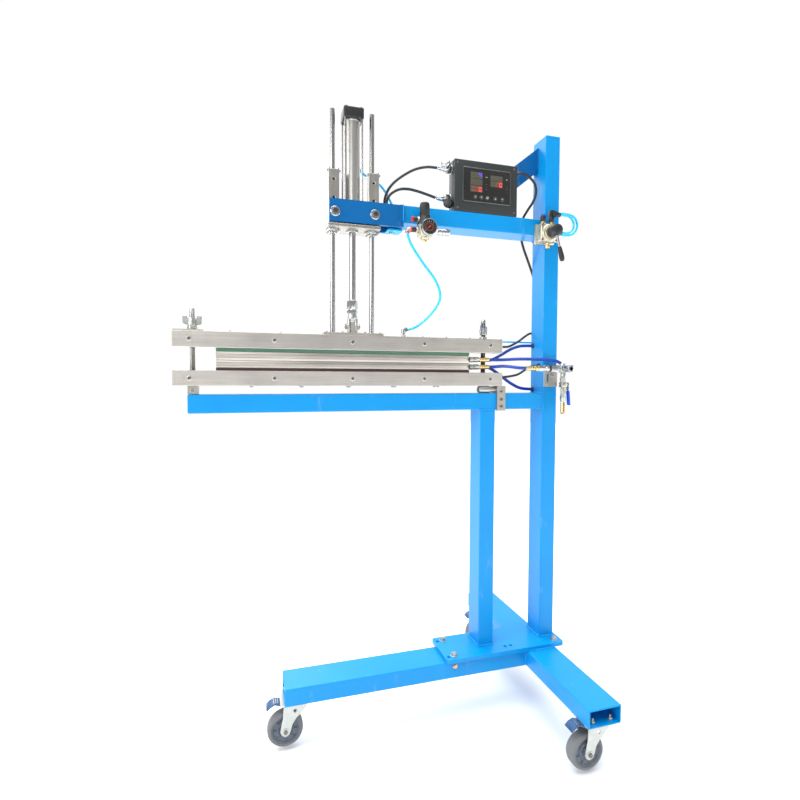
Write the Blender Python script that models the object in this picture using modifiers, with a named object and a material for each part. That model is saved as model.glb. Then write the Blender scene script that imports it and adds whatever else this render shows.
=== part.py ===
# Pneumatic impulse heat sealer on a wheeled stand, in metres, +Z up.
# Two water-cooled sealing jaws lie along X. The upper one slides down two guide rods,
# pushed by a cylinder that hangs in a yoke at the end of an arm.
import math

import bmesh
import bpy
from mathutils import Matrix, Vector

# Driving dimensions. X is measured from the cross tube and Y from the leg tube.
GAP = 0.0003
BASE_W, BASE_H, BASE_WALL = 0.080, 0.040, 0.003
BASE_Z = 0.118
LEG_END_X = -0.635
CROSS_Y = (-0.287, 0.315)
PLATE_X, PLATE_Y, PLATE_T = (-0.257, 0.065), (-0.048, 0.062), 0.010
MAST_W, MAST_D, MAST_WALL = 0.040, 0.060, 0.0025
MAST_Y = 0.020
COLUMN_X, COLUMN_TOP = 0.036, 1.453
POST_X = -0.138
BEAM_X, BEAM_TOP = -0.828, 0.8048
ARM_X, ARM_TOP = -0.3583, 1.2416
HEAD_X, ROD_SPREAD = -0.4728, 0.046
JAW_X, JAW_LEN, RAIL_T = -0.479, 0.754, 0.010
JAW_D = 0.070
UPPER_Z, LOWER_Z = (0.9040, 0.9380), (0.8231, 0.8556)
BAR_X, BAR_D = (-0.7715, -0.1848), 0.040
STOP_SPREAD = 0.3405
ROD_R, PISTON_ROD_R = 0.006, 0.008
WHEEL_R, WHEEL_W, TRAIL = 0.040, 0.026, 0.022
AXLE_Z = 0.049
CASTERS = {"left": (-0.610, 0.0), "front": (0.0, -0.250), "rear": (0.0, 0.278)}
REGULATOR = (-0.3155, -0.036)
VALVE_HUB = (0.0106, 1.2005)
WATER_X, WATER_Y, WATER_Z = 0.058, -0.035, 0.866
LEVER_REACH_X = 0.0790
# The stand's middle on the floor becomes the origin. The heights here are taken from a level a little under it.
MIDDLE_X = (JAW_X - JAW_LEN / 2 + LEVER_REACH_X) / 2
MIDDLE_Y = sum(CROSS_Y) / 2
FLOOR_Z = AXLE_Z - WHEEL_R

BASE_TOP = BASE_Z + BASE_H
PLATE_TOP = BASE_TOP + GAP + PLATE_T
FRONT_Y, BACK_Y = MAST_Y - MAST_D / 2, MAST_Y + MAST_D / 2
COLUMN_LEFT = COLUMN_X - MAST_W / 2
BOX_BACK = 0.0260
BRACE_Y = (BOX_BACK + GAP, BACK_Y - 0.0005)
JAW_ENDS = (JAW_X - JAW_LEN / 2, JAW_X + JAW_LEN / 2)

for old in list(bpy.data.objects):
    bpy.data.objects.remove(old, do_unlink=True)

parts = bpy.data.collections.new("heat_sealer")
cutters = bpy.data.collections.new("cutters")
for collection in (parts, cutters):
    bpy.context.scene.collection.children.link(collection)

origin = bpy.data.objects.new("stand_origin", None)
origin.location = (-MIDDLE_X, -MIDDLE_Y, -FLOOR_Z)
parts.objects.link(origin)


def material(name, colour, roughness, metallic=0.0):
    made = bpy.data.materials.new(name)
    made.use_nodes = True
    shader = made.node_tree.nodes["Principled BSDF"]
    shader.inputs["Base Color"].default_value = (*colour, 1)
    shader.inputs["Roughness"].default_value = roughness
    shader.inputs["Metallic"].default_value = metallic
    return made


BLUE = material("blue_paint", (0.0, 0.38, 0.90), 0.35)
DARK_BLUE = material("dark_blue_paint", (0.0, 0.16, 0.50), 0.4)
ALUMINIUM = material("aluminium", (0.72, 0.71, 0.68), 0.35, 1.0)
STEEL = material("polished_steel", (0.80, 0.80, 0.80), 0.15, 1.0)
ZINC = material("zinc_plate", (0.70, 0.72, 0.70), 0.3, 1.0)
GREEN = material("insulation", (0.12, 0.30, 0.18), 0.6)
BLACK = material("black_plastic", (0.02, 0.02, 0.02), 0.45)
GLASS = material("panel_glass", (0.01, 0.01, 0.012), 0.1)
GREY = material("wheel_tread", (0.22, 0.22, 0.22), 0.7)
BRASS = material("brass", (0.70, 0.55, 0.28), 0.3, 1.0)
BEIGE = material("cast_body", (0.62, 0.55, 0.40), 0.4, 0.6)
HOSE = material("blue_hose", (0.0, 0.06, 0.55), 0.35)
TUBE = material("cyan_tube", (0.0, 0.62, 0.90), 0.3)
CABLE = material("black_cable", (0.01, 0.01, 0.015), 0.5)


def place(shape, group=parts):
    """Links an object under the stand's origin, and hides it if it only cuts."""
    group.objects.link(shape)
    shape.parent = origin
    if group is cutters:
        shape.hide_render = True
        shape.display_type = "WIRE"
    return shape


def from_bmesh(name, mesh, centre, coat, group):
    data = bpy.data.meshes.new(name)
    mesh.to_mesh(data)
    mesh.free()
    if coat:
        data.materials.append(coat)
    shape = bpy.data.objects.new(name, data)
    shape.location = centre
    return place(shape, group)


def box(name, x, y, z, coat=None, bevel=0.0, group=parts):
    """A box from its limits along each axis."""
    size = Vector((x[1] - x[0], y[1] - y[0], z[1] - z[0]))
    mesh = bmesh.new()
    bmesh.ops.create_cube(mesh, size=1, matrix=Matrix.Diagonal((*size, 1)))
    centre = ((x[0] + x[1]) / 2, (y[0] + y[1]) / 2, (z[0] + z[1]) / 2)
    shape = from_bmesh(name, mesh, centre, coat, group)
    if bevel:
        rounded = shape.modifiers.new("bevel", "BEVEL")
        rounded.width = bevel
        rounded.segments = 2
    return shape


TURN = {"x": Matrix.Rotation(math.pi / 2, 4, "Y"), "y": Matrix.Rotation(-math.pi / 2, 4, "X"), "z": Matrix()}


def rod(name, axis, start, length, radius, coat=None, sides=24, group=parts, tip=None):
    """A round bar, or a cone with a tip radius, from its start point along an axis."""
    mesh = bmesh.new()
    bmesh.ops.create_cone(
        mesh, cap_ends=True, segments=sides, radius1=radius, radius2=radius if tip is None else tip,
        depth=length, matrix=TURN[axis] @ Matrix.Translation((0, 0, length / 2)))
    shape = from_bmesh(name, mesh, start, coat, group)
    if sides > 8:
        shape.data.shade_smooth()
        shape.data.set_sharp_from_angle(angle=math.radians(40))
    return shape


def outline(name, points, thickness, centre, axis, coat=None, group=parts):
    """A flat plate of an outline: its points are (X, Y) for axis z and (X, Z) for axis y."""
    curve = bpy.data.curves.new(name, "CURVE")
    curve.dimensions = "2D"
    curve.fill_mode = "BOTH"
    curve.extrude = thickness / 2
    line = curve.splines.new("POLY")
    line.points.add(len(points) - 1)
    for spot, (a, b) in zip(line.points, points):
        spot.co = (a, b, 0, 1)
    line.use_cyclic_u = True
    flat = bpy.data.objects.new(name, curve)
    bpy.context.scene.collection.objects.link(flat)
    solid = bpy.data.meshes.new_from_object(flat.evaluated_get(bpy.context.evaluated_depsgraph_get()))
    bpy.data.objects.remove(flat)
    mesh = bmesh.new()
    mesh.from_mesh(solid)
    bpy.data.meshes.remove(solid)
    bmesh.ops.remove_doubles(mesh, verts=mesh.verts, dist=0.00001)
    if axis == "y":
        bmesh.ops.transform(mesh, matrix=Matrix.Rotation(math.pi / 2, 4, "X"), verts=mesh.verts)
    bmesh.ops.recalc_face_normals(mesh, faces=mesh.faces)
    return from_bmesh(name, mesh, centre, coat, group)


def combine(shape, operation, *others):
    """Cuts others out of a shape, or joins them to it."""
    for other in others:
        step = shape.modifiers.new(operation.lower(), "BOOLEAN")
        step.operation = operation
        step.object = other
    return shape


def hole(name, axis, start, length, radius, sides=24):
    return rod(name + "_hole", axis, start, length, radius, sides=sides, group=cutters)


def smooth_route(points, spacing):
    """Even points along a Catmull-Rom curve through a cord's route."""
    spots = [Vector(p) for p in points]
    ends = [2 * spots[0] - spots[1]] + spots + [2 * spots[-1] - spots[-2]]
    fine = []
    for a, b, c, d in zip(ends, ends[1:], ends[2:], ends[3:]):
        for step in range(24):
            t = step / 24
            fine.append(0.5 * (2 * b + (c - a) * t + (2 * a - 5 * b + 4 * c - d) * t * t
                               + (3 * b - a - 3 * c + d) * t ** 3))
    fine.append(spots[-1])
    lengths = [0.0]
    for a, b in zip(fine, fine[1:]):
        lengths.append(lengths[-1] + (b - a).length)
    count = max(3, round(lengths[-1] / spacing))
    even, i = [], 0
    for k in range(count + 1):
        goal = lengths[-1] * k / count
        while i < len(fine) - 2 and lengths[i + 1] < goal:
            i += 1
        share = (goal - lengths[i]) / (lengths[i + 1] - lengths[i])
        even.append(fine[i].lerp(fine[i + 1], min(1, share)))
    return even


def cord(name, points, radius, coat):
    """A free hose, tube or cable along its route."""
    curve = bpy.data.curves.new(name, "CURVE")
    curve.dimensions = "3D"
    curve.bevel_depth = radius
    curve.bevel_resolution = 2
    curve.use_fill_caps = True
    curve.render_resolution_u = 0
    curve.materials.append(coat)
    route = smooth_route(points, radius * 5)
    line = curve.splines.new("POLY")
    line.points.add(len(route) - 1)
    for spot, place_at in zip(line.points, route):
        spot.co = (*place_at, 1)
    return place(bpy.data.objects.new(name, curve))


def square_tube(name, x, y, z, wall, along, coat, closed=0):
    """A box section, open at both ends or closed at its low (-1) or high (1) end."""
    shape = box(name, x, y, z, coat, 0.002)
    inner = {}
    for axis, (low, high) in zip("xyz", (x, y, z)):
        if axis == along:
            inner[axis] = (low + wall if closed < 0 else low - 0.01, high - wall if closed > 0 else high + 0.01)
        else:
            inner[axis] = (low + wall, high - wall)
    core = box(name + "_bore", inner["x"], inner["y"], inner["z"], group=cutters)
    return combine(shape, "DIFFERENCE", core)


def base_frame():
    half, z = BASE_W / 2, (BASE_Z, BASE_TOP)
    square_tube("base_leg_tube", (LEG_END_X, -half - GAP), (-half, half), z, BASE_WALL, "x", BLUE)
    square_tube("base_cross_tube", (-half, half), CROSS_Y, z, BASE_WALL, "y", BLUE)
    plate = box("base_plate", PLATE_X, PLATE_Y, (BASE_TOP + GAP, PLATE_TOP), BLUE, 0.002)
    for i, (x, y) in enumerate([(-0.247, 0.043), (-0.247, -0.033), (-0.092, -0.026),
                                (-0.076, -0.026), (-0.100, 0.050)]):
        combine(plate, "DIFFERENCE", hole(f"plate_{i}", "z", (x, y, BASE_TOP - 0.01), 0.03, 0.004, 12))


def mast():
    y = (FRONT_Y, BACK_Y)
    foot = PLATE_TOP + GAP
    half = MAST_W / 2
    square_tube("tall_column", (COLUMN_LEFT, COLUMN_X + half), y, (foot, COLUMN_TOP), MAST_WALL, "z", BLUE, 1)
    square_tube("front_post", (POST_X - half, POST_X + half), y, (foot, BEAM_TOP - MAST_W - GAP),
                MAST_WALL, "z", BLUE)
    right = COLUMN_LEFT - GAP
    square_tube("lower_beam", (BEAM_X, right), y, (BEAM_TOP - MAST_W, BEAM_TOP), MAST_WALL, "x", BLUE, -1)
    square_tube("upper_arm", (ARM_X, right), y, (ARM_TOP - MAST_W, ARM_TOP), MAST_WALL, "x", BLUE)
    foot_z = ARM_TOP + GAP
    outline("diagonal_brace", [(right, 1.376), (right, 1.436), (-0.227, foot_z), (-0.152, foot_z)],
            BRACE_Y[1] - BRACE_Y[0], (0, sum(BRACE_Y) / 2, 0), "y", DARK_BLUE)


def head():
    """The yoke, guide blocks and cylinder that the upper jaw hangs from."""
    cheek, gap_half, plate_x = 0.008, 0.0235, ARM_X - GAP
    inner_x, end_x = plate_x - 0.010, HEAD_X - 0.058
    outer = gap_half + cheek
    left, right = end_x, inner_x
    points = [(left, -outer), (right, -outer), (right, -outer - 0.002), (plate_x, -outer - 0.002),
              (plate_x, outer + 0.002), (right, outer + 0.002), (right, outer), (left, outer),
              (left, gap_half), (right, gap_half), (right, -gap_half), (left, -gap_half)]
    outline("head_yoke", points, 0.050, (0, MAST_Y, ARM_TOP - 0.026), "z", DARK_BLUE)

    block_z, block_y = (1.1872, 1.3085), (MAST_Y - 0.023, MAST_Y + 0.023)
    plate = box("head_plate", (HEAD_X - 0.060, HEAD_X + 0.060), (MAST_Y - 0.032, MAST_Y + 0.032),
                (1.1795, block_z[0] - GAP), ALUMINIUM, 0.001)
    for side, sign in (("left", -1), ("right", 1)):
        x = HEAD_X + sign * ROD_SPREAD
        block = box("guide_block_" + side, (x - 0.012, x + 0.012), block_y, block_z, ALUMINIUM, 0.001)
        combine(block, "DIFFERENCE", hole("block_" + side, "z", (x, MAST_Y, 1.18), 0.14, ROD_R + GAP))
        combine(plate, "DIFFERENCE", hole("plate_" + side, "z", (x, MAST_Y, 1.17), 0.03, ROD_R + GAP))
    combine(plate, "DIFFERENCE", hole("plate_rod", "z", (HEAD_X, MAST_Y, 1.17), 0.03, PISTON_ROD_R + GAP))

    cap_half = 0.023
    cap_x, cap_y = (HEAD_X - cap_half, HEAD_X + cap_half), (MAST_Y - cap_half, MAST_Y + cap_half)
    cap = box("cylinder_front_cap", cap_x, cap_y, (block_z[0], 1.2150), BLACK, 0.002)
    combine(cap, "DIFFERENCE", hole("cap_rod", "z", (HEAD_X, MAST_Y, 1.18), 0.05, PISTON_ROD_R + GAP))
    barrel = rod("cylinder_barrel", "z", (HEAD_X, MAST_Y, 1.2153), 0.2124, 0.0175, ALUMINIUM, 32)
    combine(barrel, "DIFFERENCE", hole("barrel", "z", (HEAD_X, MAST_Y, 1.21), 0.23, 0.0160, 32))
    box("cylinder_rear_cap", cap_x, cap_y, (1.4280, 1.4515), BLACK, 0.002)


def upper_jaw():
    for side, sign in (("left", -1), ("right", 1)):
        rod("guide_rod_" + side, "z", (HEAD_X + sign * ROD_SPREAD, MAST_Y, 0.9449), 0.5046, ROD_R, STEEL)
    shaft = rod("piston_rod", "z", (HEAD_X, MAST_Y, 1.0218), 0.1980, PISTON_ROD_R, STEEL)
    combine(shaft, "UNION", rod("piston", "z", (HEAD_X, MAST_Y, 1.2165), 0.015, 0.0157, sides=32, group=cutters))

    # The clevis under the piston rod, its cross pin and the lug that it pulls on.
    pin_z = 0.9605
    clevis = box("rod_clevis", (HEAD_X - 0.011, HEAD_X + 0.011), (MAST_Y - 0.010, MAST_Y + 0.010),
                 (0.9460, 0.9920), ZINC, 0.0015)
    combine(clevis, "UNION", rod("coupler_nut", "z", (HEAD_X, MAST_Y, 0.9910), 0.0305, 0.0125, sides=6, group=cutters))
    combine(clevis, "DIFFERENCE",
            box("clevis_slot", (HEAD_X - 0.0055, HEAD_X + 0.0055), (0, 0.04), (0.940, 0.974), group=cutters),
            hole("clevis_pin", "x", (HEAD_X - 0.02, MAST_Y, pin_z), 0.04, 0.0043, 16))
    pin = rod("clevis_pin", "x", (HEAD_X - 0.0140, MAST_Y, pin_z), 0.0280, 0.0040, STEEL, 16)
    for sign in (-1, 1):
        combine(pin, "UNION", rod("pin_head", "x", (HEAD_X + sign * 0.0128 - 0.0015, MAST_Y, pin_z), 0.0030, 0.0060,
                                  sides=16, group=cutters))
    plate = box("jaw_top_plate", (HEAD_X - 0.070, HEAD_X + 0.070), (MAST_Y - 0.025, MAST_Y + 0.025),
                (UPPER_Z[1] + GAP, 0.9446), ALUMINIUM, 0.001)
    combine(plate, "UNION",
            box("lug", (HEAD_X - 0.005, HEAD_X + 0.005), (MAST_Y - 0.009, MAST_Y + 0.009), (0.943, 0.971), group=cutters))
    combine(plate, "DIFFERENCE", hole("lug", "x", (HEAD_X - 0.02, MAST_Y, pin_z), 0.04, 0.0043, 16))

    rails("upper", UPPER_Z, (UPPER_Z[0], UPPER_Z[1]))
    core = bpy.data.objects["upper_jaw_core"]
    combine(core, "UNION", box("raised_end", (JAW_ENDS[0] + 0.0005, JAW_ENDS[0] + 0.060), (JAW_Y[0] + 0.001, JAW_Y[1] - 0.001),
                               (0.930, 0.942), group=cutters))
    y = (MAST_Y - BAR_D / 2, MAST_Y + BAR_D / 2)
    box("upper_insulation_strip", BAR_X, y, (0.8975, UPPER_Z[0] - GAP), GREEN)
    seal_bar("upper_seal_bar", (0.8785, 0.8972), 0.888)
    for side, sign in (("left", -1), ("right", 1)):
        wing_screw(side, JAW_X + sign * STOP_SPREAD, core)


JAW_Y = (MAST_Y - JAW_D / 2 + RAIL_T + GAP, MAST_Y + JAW_D / 2 - RAIL_T - GAP)


def rails(jaw, z, core_z):
    """A jaw's front and rear rails, with the core bar between them."""
    front = MAST_Y - JAW_D / 2
    back = MAST_Y + JAW_D / 2
    box(jaw + "_front_rail", JAW_ENDS, (front, front + RAIL_T), z, ALUMINIUM, 0.0008)
    box(jaw + "_rear_rail", JAW_ENDS, (back - RAIL_T, back), z, ALUMINIUM, 0.0008)
    box(jaw + "_jaw_core", JAW_ENDS, JAW_Y, core_z, ALUMINIUM)


def seal_bar(name, z, port_z):
    """A sealing bar with the two water unions in its right end."""
    bar = box(name, BAR_X, (MAST_Y - 0.018, MAST_Y + 0.018), z, ALUMINIUM, 0.0008)
    for sign in (-1, 1):
        y = MAST_Y + sign * 0.015
        combine(bar, "UNION",
                rod(name + "_nut", "x", (BAR_X[1] - 0.004, y, port_z), 0.0328, 0.0065, sides=6, group=cutters),
                rod(name + "_barb", "x", (BAR_X[1] + 0.020, y, port_z), 0.0360, 0.0040, sides=12, group=cutters))


def wing_screw(side, x, core):
    """A screw through the upper jaw that stands on the lower one and sets the closing height."""
    screw = rod(side + "_wing_screw", "z", (x, MAST_Y, LOWER_Z[1] + GAP), 0.1240, 0.0060, STEEL, 16)
    combine(screw, "UNION",
            rod("wing_hub", "z", (x, MAST_Y, 0.9560), 0.0170, 0.0090, sides=16, group=cutters),
            outline("wings", [(-0.005, -0.006), (0.005, -0.006), (0.019, 0.014), (0.019, 0.021), (0.011, 0.021),
                              (0.003, 0.008), (-0.003, 0.008), (-0.011, 0.021), (-0.019, 0.021), (-0.019, 0.014)],
                    0.004, (x, MAST_Y, 0.968), "y", group=cutters))
    combine(core, "DIFFERENCE", hole(side + "_stop", "z", (x, MAST_Y, 0.89), 0.06, 0.0064, 16))


def lower_jaw():
    rails("lower", LOWER_Z, LOWER_Z)
    y = (MAST_Y - BAR_D / 2, MAST_Y + BAR_D / 2)
    box("lower_insulation_strip", BAR_X, y, (LOWER_Z[1] + GAP, 0.8617), BLACK)
    seal_bar("lower_seal_bar", (0.8620, 0.8782), 0.870)
    z = (BEAM_TOP + GAP, LOWER_Z[0] - GAP)
    box("left_support_block", (-0.828, -0.809), (MAST_Y - 0.025, MAST_Y + 0.025), z, ALUMINIUM, 0.0008)
    strap_x, face = (-0.1158, -0.0931), FRONT_Y - GAP
    strap = box("right_support_bracket", strap_x, (face - 0.005, face), (0.7618, z[1]), ALUMINIUM)
    combine(strap, "UNION",
            box("strap_head", strap_x, (face - 0.005, 0.012), z, group=cutters),
            rod("support_pin", "x", (-0.1550, 0.000, 0.8140), 0.045, 0.0075, sides=20, group=cutters))


def control_box():
    z = (ARM_TOP + GAP, 1.365)
    box("control_box", (-0.2316, -0.0640), (FRONT_Y, BOX_BACK), z, BLACK, 0.002)
    box("control_panel", (-0.2081, -0.0851), (FRONT_Y - 0.0021, FRONT_Y - GAP), (1.2685, 1.3454), GLASS)


def air_parts():
    x, y = REGULATOR
    body = box("regulator_body", (x - 0.0175, x + 0.0175), (y - 0.0195, y + 0.0195), (1.1580, 1.2133), BEIGE, 0.002)
    combine(body, "UNION",
            box("regulator_boss", (x - 0.010, x + 0.010), (y + 0.015, FRONT_Y - GAP), (1.206, 1.2125), group=cutters),
            rod("tube_fitting_1", "x", (x - 0.030, y, 1.2030), 0.020, 0.0065, sides=16, group=cutters),
            rod("tube_fitting_2", "x", (x - 0.030, y, 1.1800), 0.020, 0.0065, sides=16, group=cutters),
            rod("air_coupler", "x", (x + 0.015, y, 1.1785), 0.0455, 0.0090, sides=20, group=cutters))
    rod("regulator_knob", "z", (x, y, 1.2136), 0.0282, 0.0116, BLACK, 24)
    face = y - 0.0195 - GAP
    rod("pressure_gauge", "y", (x, face - 0.016, 1.1790), 0.016, 0.0182, BLACK, 32)

    hub_x, hub_z = VALVE_HUB
    valve = box("hand_valve_body", (-0.0160, 0.0360), (-0.0480, FRONT_Y - GAP), (1.1780, 1.2260), BEIGE, 0.002)
    combine(valve, "UNION",
            rod("valve_port_1", "z", (-0.002, -0.028, 1.222), 0.026, 0.0075, sides=16, group=cutters),
            rod("valve_port_2", "z", (0.022, -0.028, 1.222), 0.026, 0.0075, sides=16, group=cutters),
            rod("valve_nipple", "z", (hub_x, -0.030, 1.1650), 0.015, 0.0060, sides=16, group=cutters))
    hub = rod("hand_valve_lever", "y", (hub_x, -0.0783, hub_z), 0.0300, 0.0130, BLACK, 24)
    tilt = math.radians(15)
    across = (math.cos(tilt), math.sin(tilt))
    down = (math.sin(tilt), -math.cos(tilt))
    handle = [(s * across[0] + d * down[0], s * across[1] + d * down[1])
              for s, d in ((-0.004, 0.0), (0.004, 0.0), (0.003, 0.040), (0.006, 0.046), (0.006, 0.071), (0.0, 0.076),
                           (-0.006, 0.071), (-0.006, 0.046), (-0.003, 0.040))]
    combine(hub, "UNION", outline("valve_handle", handle, 0.009, (hub_x, -0.0660, hub_z), "y", group=cutters))


def water_parts():
    x, y, z = WATER_X, WATER_Y, WATER_Z
    plate = box("manifold_bracket", (0.0167, 0.0557), (FRONT_Y - GAP - 0.003, FRONT_Y - GAP), (0.8208, 0.8760), ALUMINIUM)
    slot = box("bracket_slot", (0.025, 0.030), (-0.02, 0), (0.8340, 0.8540), group=cutters)
    combine(plate, "DIFFERENCE", slot)
    block = box("water_manifold", (0.0200, 0.0660), (y - 0.008, FRONT_Y - 0.0036), (0.8580, 0.8755), BRASS, 0.001)
    combine(block, "UNION",
            rod("manifold_pipe", "x", (-0.0200, y, z + 0.001), 0.045, 0.0070, sides=16, group=cutters),
            rod("manifold_barb", "x", (-0.0480, y, z + 0.001), 0.030, 0.0042, sides=12, group=cutters),
            rod("quick_coupler", "y", (x, y - 0.036, z), 0.030, 0.0095, sides=20, group=cutters),
            rod("drain_pipe", "z", (x, y, 0.7523), 0.110, 0.0045, sides=12, group=cutters),
            rod("ball_valve", "z", (x, y, 0.7950), 0.054, 0.0078, sides=16, group=cutters))
    combine(block, "DIFFERENCE", hole("coupler_bore", "y", (x, y - 0.04, z), 0.020, 0.0040, 12))
    stem = x + 0.0078 + GAP
    lever = rod("ball_valve_lever", "x", (stem, y, 0.8260), 0.0075, 0.0045, HOSE, 16)
    combine(lever, "UNION", box("lever_blade", (stem + 0.0055, LEVER_REACH_X), (y - 0.0055, y + 0.0055), (0.7760, 0.8320),
                                group=cutters))


def caster(side, x, y):
    """A swivel caster: the fork turns about Z at (x, y), and the wheel trails behind it."""
    axle_x, top = x - TRAIL, BASE_Z - GAP
    fork = rod(f"caster_{side}_fork", "z", (x, y, 0.1065), top - 0.1065, 0.0200, ZINC, 24)
    combine(fork, "UNION", box("crown", (x - 0.024, x + 0.024), (y - 0.0195, y + 0.0195), (0.1035, 0.1080), group=cutters))
    leg = [(-0.024, 0.057), (0.022, 0.057), (-0.010, -0.006), (-0.022, -0.012), (-0.034, -0.006)]
    for sign in (-1, 1):
        combine(fork, "UNION", outline("fork_leg", leg, 0.003, (x, y + sign * 0.0175, AXLE_Z), "y", group=cutters))
    combine(fork, "UNION", rod("axle", "y", (axle_x, y - 0.022, AXLE_Z), 0.044, 0.0050, sides=12, group=cutters))
    wheel = rod(f"caster_{side}_wheel", "y", (axle_x, y - WHEEL_W / 2, AXLE_Z), WHEEL_W, WHEEL_R, GREY, 40)
    edge = wheel.modifiers.new("bevel", "BEVEL")
    edge.width = 0.004
    edge.segments = 2
    edge.limit_method = "ANGLE"
    combine(wheel, "DIFFERENCE", hole(f"wheel_{side}", "y", (axle_x, y - 0.03, AXLE_Z), 0.06, 0.0053, 12))
    pedal = [(-0.0275, 0.104), (-0.0275, 0.112), (-0.045, 0.1165), (-0.064, 0.1045), (-0.062, 0.1010), (-0.045, 0.1120)]
    outline(f"caster_{side}_pedal", pedal, 0.026, (x, y, 0), "y", DARK_BLUE)


ROUTES = {
    "jaw_air_tube": (0.0030, TUBE, [
        (-0.3482, -0.036, 1.1795), (-0.3550, -0.036, 1.1780), (-0.3575, -0.036, 1.1690), (-0.3470, -0.034, 1.1450),
        (-0.3163, -0.031, 1.1053),
        (-0.2865, -0.030, 1.0696), (-0.2730, -0.028, 1.0357), (-0.2790, -0.020, 1.0100), (-0.2980, -0.005, 0.9830),
        (-0.3200, 0.012, 0.9640), (-0.3400, 0.020, 0.9570)]),
    "upper_water_hose_rear": (0.0040, HOSE, [
        (-0.1275, 0.035, 0.8880), (-0.1075, 0.035, 0.8892), (-0.0800, 0.036, 0.9020), (-0.0520, 0.038, 0.9170),
        (-0.0250, 0.040, 0.9260), (0.0000, 0.041, 0.9280), (0.0154, 0.041, 0.9280)]),
    "upper_water_hose_front": (0.0040, HOSE, [
        (-0.1275, 0.005, 0.8880), (-0.1000, 0.003, 0.8883), (-0.0500, -0.010, 0.8905), (0.0000, -0.022, 0.8900),
        (0.0250, -0.027, 0.8885), (0.0420, -0.029, 0.8860), (0.0540, -0.030, 0.8805)]),
    "lower_water_hose_front": (0.0040, HOSE, [
        (-0.1275, 0.005, 0.8700), (-0.1120, 0.004, 0.8708), (-0.0960, -0.006, 0.8722), (-0.0820, -0.022, 0.8705),
        (-0.0680, -0.033, 0.8680), (-0.0495, -0.035, 0.8670)]),
    "lower_water_hose_rear": (0.0040, HOSE, [
        (-0.1275, 0.035, 0.8700), (-0.1120, 0.035, 0.8680), (-0.0920, 0.036, 0.8570), (-0.0720, 0.038, 0.8440),
        (-0.0480, 0.040, 0.8290), (-0.0200, 0.041, 0.8170), (0.0154, 0.041, 0.8135)]),
    "upper_heater_cable": (0.0032, CABLE, [
        (-0.2680, 0.010, 1.3450), (-0.2950, 0.011, 1.3440), (-0.3250, 0.013, 1.3350), (-0.3560, 0.016, 1.3160),
        (-0.3800, 0.018, 1.2940), (-0.3930, 0.020, 1.2700), (-0.3960, 0.020, 1.2450), (-0.3900, 0.020, 1.2300),
        (-0.3800, 0.020, 1.2230), (-0.3695, 0.020, 1.2220)]),
}

base_frame()
mast()
head()
upper_jaw()
lower_jaw()
control_box()
air_parts()
water_parts()
for side, (caster_x, caster_y) in CASTERS.items():
    caster(side, caster_x, caster_y)
for cord_name, (cord_radius, coat, route) in ROUTES.items():
    cord(cord_name, route, cord_radius, coat)
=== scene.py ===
# Looks of the impulse heat sealer on its wheeled stand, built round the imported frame.
import math
import random

import bmesh
import bpy
from mathutils import Matrix, Vector


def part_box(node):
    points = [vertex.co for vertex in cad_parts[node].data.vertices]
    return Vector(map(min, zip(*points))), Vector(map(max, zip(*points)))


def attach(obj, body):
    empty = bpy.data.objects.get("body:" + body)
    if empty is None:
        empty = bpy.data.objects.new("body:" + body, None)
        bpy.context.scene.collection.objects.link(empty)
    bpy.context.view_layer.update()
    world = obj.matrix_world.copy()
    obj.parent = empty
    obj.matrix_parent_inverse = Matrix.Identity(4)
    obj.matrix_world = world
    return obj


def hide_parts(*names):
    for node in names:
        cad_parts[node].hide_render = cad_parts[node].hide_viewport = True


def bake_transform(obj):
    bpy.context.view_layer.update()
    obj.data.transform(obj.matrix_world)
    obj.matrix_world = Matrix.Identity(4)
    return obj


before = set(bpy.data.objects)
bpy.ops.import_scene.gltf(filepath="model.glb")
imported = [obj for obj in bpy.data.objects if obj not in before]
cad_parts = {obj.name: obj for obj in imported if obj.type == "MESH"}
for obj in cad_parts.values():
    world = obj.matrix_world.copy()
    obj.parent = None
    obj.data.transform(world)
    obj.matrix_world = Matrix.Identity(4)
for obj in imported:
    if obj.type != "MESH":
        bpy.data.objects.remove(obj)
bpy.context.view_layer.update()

scene = bpy.context.scene
legBox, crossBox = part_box("base_leg_tube"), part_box("base_cross_tube")
tubeUnderside = 0.118  # how far the base tubes stand above the level that heights here are measured from
home = Vector(((crossBox[0].x + crossBox[1].x) / 2, (legBox[0].y + legBox[1].y) / 2,
               legBox[0].z - tubeUnderside))
dice = random.Random(11)
ways = {"x": (1, 0, 0), "-x": (-1, 0, 0), "y": (0, 1, 0), "-y": (0, -1, 0), "z": (0, 0, 1), "-z": (0, 0, -1)}


def nodeBox(name):  # a node's corners, measured from home
    low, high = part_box(name)
    return low - home, high - home


def middle(name):
    low, high = nodeBox(name)
    return (low + high) / 2


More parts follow.
